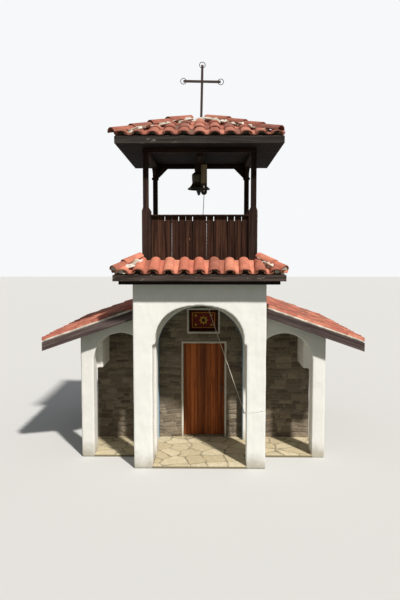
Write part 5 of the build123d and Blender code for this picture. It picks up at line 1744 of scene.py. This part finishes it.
def rosette(x, z, y, points_round, outer, inner, thick):
    """A flat star in the upright plane: kites from its middle to each tip, and an edge round it."""
    angle = np.arange(2 * points_round) * np.pi / points_round + np.pi / 2
    reach = np.where(np.arange(2 * points_round) % 2 == 0, outer, inner)
    ring = np.stack([x + reach * np.cos(angle), 0 * angle, z + reach * np.sin(angle)], -1)
    front, back = ring.copy(), ring.copy()
    front[:, 1] = y - thick
    back[:, 1] = y
    size = 2 * points_round
    tips = np.arange(0, size, 2)
    kites = np.stack([np.full(points_round, 2 * size), (tips - 1) % size, tips, (tips + 1) % size], -1)
    rear_kites = np.where(kites == 2 * size, 2 * size + 1, kites + size)
    quads = np.concatenate([grid_quads(2, size, closed=True), kites[:, ::-1], rear_kites])
    middle = [[x, y - thick, z], [x, y, z]]
    return outward({"points": np.concatenate([front, back, middle]), "quads": quads})


low, high = corners("niche_panel")
middle_x, middle_y, middle_z = (low + high) / 2
face_y = low[1]
rng = np.random.default_rng(95)
ground = board((low[0] + 0.002, middle_y, middle_z), (high[0] - 0.002, middle_y, middle_z), (0, 0, 1),
               high[2] - low[2] - 0.004, high[1] - low[1], rng, 2, 0.001, 0.0)
make_piece("panel_ground", ground, panel_red, replaces=["niche_panel"])
left, right = low[0] + FRAME_BAR + BORDER_INSET, high[0] - FRAME_BAR - BORDER_INSET
foot, head = low[2] + FRAME_BAR + BORDER_INSET, high[2] - FRAME_BAR - BORDER_INSET
strip_y = face_y - PANEL_RAISE / 2
strips = [((x, strip_y, foot), (x, strip_y, head), (1, 0, 0)) for x in (left, right)]
strips += [((left, strip_y, z), (right, strip_y, z), (0, 0, 1)) for z in (foot, head)]
gold = [board(*strip, PANEL_BORDER, PANEL_RAISE, rng, 2, 0.0008, 0.0) for strip in strips]
marks = [rosette(middle_x, middle_z, face_y, *STAR, PANEL_RAISE)]
for sx in (-1, 1):
    for sz in (-1, 1):
        marks.append(rosette(middle_x + sx * 0.165, middle_z + sz * 0.100, face_y, *DIAMOND, PANEL_RAISE))
roundel = rosette(middle_x, middle_z, face_y - PANEL_RAISE, *ROUNDEL, PANEL_RAISE)
make_piece("panel_gold_border", gather(gold), panel_gold)
make_piece("panel_gold_stars", gather(marks), panel_gold)
make_piece("panel_dark_roundel", roundel, panel_dark)

# %% [markdown]
# ## Iron, the bell and what stays as measured
#
# The cross is flat bar with thin rings at its three ends, and it leans a little. It is made of boards and
# wire rings, tilted together by one sum on their points: turning the object would also work, but a piece
# stays at the origin here. The hook, the straps and the handles already have their real shapes, so they
# only get their finish. The bell and its clapper keep theirs too, under a cast crown and a thick weight.

# %% The cross on the roof
CROSS_LEAN = math.radians(1.2)
CROSS_FOOT_DEPTH = 0.14
ARM_Z = 7.220
BAR_WIDTH = 0.048
RING_WIRE = 0.0065
RING_REACH = 0.061
low, high = corners("cross")
cross_x = (low[0] + high[0]) / 2
cross_y = (low[1] + high[1]) / 2
arm_reach = (high[0] - low[0]) / 2 - RING_REACH
ring_middle = RING_REACH - RING_WIRE
top_z = high[2] - RING_REACH


def wire_ring(x, y, z, radius, wire, around=40, across=8):
    """A torus in the upright plane: a small circle of the wire's radius carried round a large one."""
    a, b = np.meshgrid(round_angles(around), round_angles(across), indexing="ij")
    reach = radius + wire * np.cos(b)
    points = np.stack([x + reach * np.cos(a), y + wire * np.sin(b), z + reach * np.sin(a)], -1)
    return ring_body(points, around, across)


rng = np.random.default_rng(97)
left, right = cross_x - arm_reach, cross_x + arm_reach
bars = [
    board((cross_x, cross_y, low[2] - CROSS_FOOT_DEPTH), (cross_x, cross_y, top_z), (1, 0, 0), BAR_WIDTH,
          0.022, rng, 14, 0.003, 0.0016),
    board((left, cross_y, ARM_Z), (right, cross_y, ARM_Z), (0, 0, 1), BAR_WIDTH,
          0.024, rng, 12, 0.003, 0.0016),
]
cross_parts = [{"points": bar["points"], "quads": bar["quads"]} for bar in bars]
for x, z in ((left, ARM_Z), (right, ARM_Z), (cross_x, top_z)):
    cross_parts.append(wire_ring(x, cross_y, z, ring_middle, RING_WIRE))
cross_shape = gather(cross_parts)
rise = cross_shape["points"][:, 2] - low[2]
side = cross_shape["points"][:, 0] - cross_x
cross_shape["points"][:, 0] = cross_x + side * math.cos(CROSS_LEAN) + rise * math.sin(CROSS_LEAN)
leaning_z = low[2] + rise * math.cos(CROSS_LEAN) - side * math.sin(CROSS_LEAN)
cross_shape["points"][:, 2] = np.minimum(leaning_z, high[2])
make_piece("roof_cross", cross_shape, cross_iron, replaces=["cross"])
softened("bell_pulley_block", ["pulley_block"], block_wood, 0.003)

# %% [markdown]
# ## Crown of the bell, and the pulley
#
# The bell is cast with a full crown that fills the place between its waist and the beam over it. Turned
# metal is a profile of radius over height, carried round the bell's middle. The profile comes back down
# inside the bell's own wall, so the crown is one closed body that lies over the measured bell. A Screw
# modifier would turn it too, but one small function also serves the weight and the bolt. The pulley block
# ends in an iron plate with a grooved wheel in its middle and the head of its bolt.

# %% A turned shape and the bell's crown
CROWN_PROFILE = [
    (0.276, 0.020), (0.276, 0.048), (0.262, 0.080), (0.232, 0.098), (0.140, 0.117), (0.126, 0.120),
    (0.126, 0.1242), (0.134, 0.1270), (0.150, 0.1295), (0.200, 0.1330), (0.250, 0.1350), (0.276, 0.1340),
    (0.294, 0.128), (0.306, 0.117), (0.316, 0.103), (0.326, 0.090), (0.336, 0.080), (0.344, 0.076),
    (0.344, 0.020),
]


def foot_middle(node):
    """The middle of the lower face of a node's box."""
    low, high = corners(node)
    return np.array([*(low + high)[:2] / 2, low[2]])


def turned(profile, around=48):
    """Rings round the upright axis: one for each height and radius of the profile, both ends closed."""
    z, radius = np.array(profile).T
    angle = round_angles(around)
    points = np.stack([radius[:, None] * np.cos(angle), radius[:, None] * np.sin(angle),
                       np.broadcast_to(z[:, None], (len(z), around))], -1)
    return closed_body(points, len(z), around)


crown = turned(CROWN_PROFILE)
crown["points"] += foot_middle("bell")
make_piece("bell_crown", crown, bronze, sharp=50.0)

# %% The clapper's weight
WEIGHT_PROFILE = [
    (0.050, 0.006), (0.048, 0.014), (0.038, 0.032), (0.020, 0.045), (0.000, 0.0500), (-0.018, 0.0490),
    (-0.034, 0.044), (-0.050, 0.037), (-0.068, 0.030), (-0.086, 0.025), (-0.098, 0.020), (-0.104, 0.011),
    (-0.105, 0.004),
]
WEIGHT_OVER_TIP = 0.100
weight = turned(WEIGHT_PROFILE, 28)
weight["points"] += foot_middle("clapper") + [0, 0, WEIGHT_OVER_TIP]
make_piece("clapper_weight", weight, iron, body="clapper", sharp=50.0)

# %% The pulley's plate, wheel and bolt
PLATE_RISE = 0.215
PLATE_EDGE = ((0.002, 0.0), (-0.003, 0.0), (-0.0042, 0.0014), (-0.0045, 0.004))
WHEEL_PROFILE = [
    (-0.012, 0.012), (-0.012, 0.045), (-0.009, 0.050), (-0.004, 0.044),
    (0.004, 0.044), (0.009, 0.050), (0.012, 0.045), (0.012, 0.012),
]
WHEEL_STEPS = 40
WHEEL_OVER_END = 0.152
BOLT_OVER_END = 0.072
BOLT_HEAD = ((0.004, 0.013), (-0.009, 0.013), (-0.012, 0.010), (-0.0135, 0.005))


def rounded_plate(half, rise, edge, arc=9):
    """A plate with a half round lower end: its outline drawn once for each depth and inset of its edge.
    The outline runs down the right side, round the end and up the left side, so that mirror points pair."""
    turn = np.linspace(0, np.pi / 2, arc + 1)[:-1] + np.pi / 4 / arc
    rings = []
    for depth, inset in edge:
        reach = half - inset
        right = np.column_stack([np.r_[reach, reach * np.cos(turn)],
                                 np.r_[rise - inset, half - reach * np.sin(turn)]])
        flat = np.concatenate([right, (right * [-1, 1])[::-1]])
        rings.append(np.column_stack([flat[:, 0], np.full(len(flat), depth), flat[:, 1]]))
    return closed_body(np.array(rings), len(rings), len(rings[0]))


low, high = corners("pulley_block")
middle = np.array([(low[0] + high[0]) / 2, low[1], low[2]])
half = (high[0] - low[0]) / 2
plate = rounded_plate(half, PLATE_RISE, PLATE_EDGE)
plate["points"] += middle
make_piece("pulley_plate", plate, cross_iron)

bolt = turned(BOLT_HEAD, 12)
bolt["points"] = bolt["points"][:, [0, 2, 1]] + [0, 0, BOLT_OVER_END]
wheel_x, wheel_r = np.array(WHEEL_PROFILE).T
spokes = round_angles(WHEEL_STEPS)[:, None]
rim = ring_body(np.stack([np.broadcast_to(wheel_x, (WHEEL_STEPS, len(wheel_x))), wheel_r * np.cos(spokes),
                          wheel_r * np.sin(spokes)], -1), WHEEL_STEPS, len(wheel_x))
rim["points"] += [0, (high[1] - low[1]) / 2, WHEEL_OVER_END]
wheel = gather([rim, outward(bolt)])
wheel["points"] += middle
make_piece("pulley_wheel", wheel, worn_metal, sharp=30.0)

# %% Finishes for the nodes that stay
for node, finish in {
    "bell": bronze, "clapper": iron, "rope_hook": iron, "door_hinge_straps": iron, "door_handles": iron,
    "nave_front_wall_left": shade_darkened_inner_stone, "nave_front_wall_right": shade_darkened_inner_stone,
    "nave_front_wall_over_door": shade_darkened_inner_stone, "nave_side_walls": shade_darkened_inner_stone, "nave_wall_rear": shade_darkened_inner_stone,
    "porch_floor": paving_stone, "nave_floor": paving_stone,
}.items():
    NODES[node].data.materials.clear()
    NODES[node].data.materials.append(finish)
shown = [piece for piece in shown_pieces() if not piece.hide_render]
faces = [face for piece in shown if piece.type == "MESH" for face in piece.data.polygons]
triangles = sum(len(face.vertices) - 2 for face in faces)
print("pieces:", len(shown), "triangles before modifiers:", triangles)
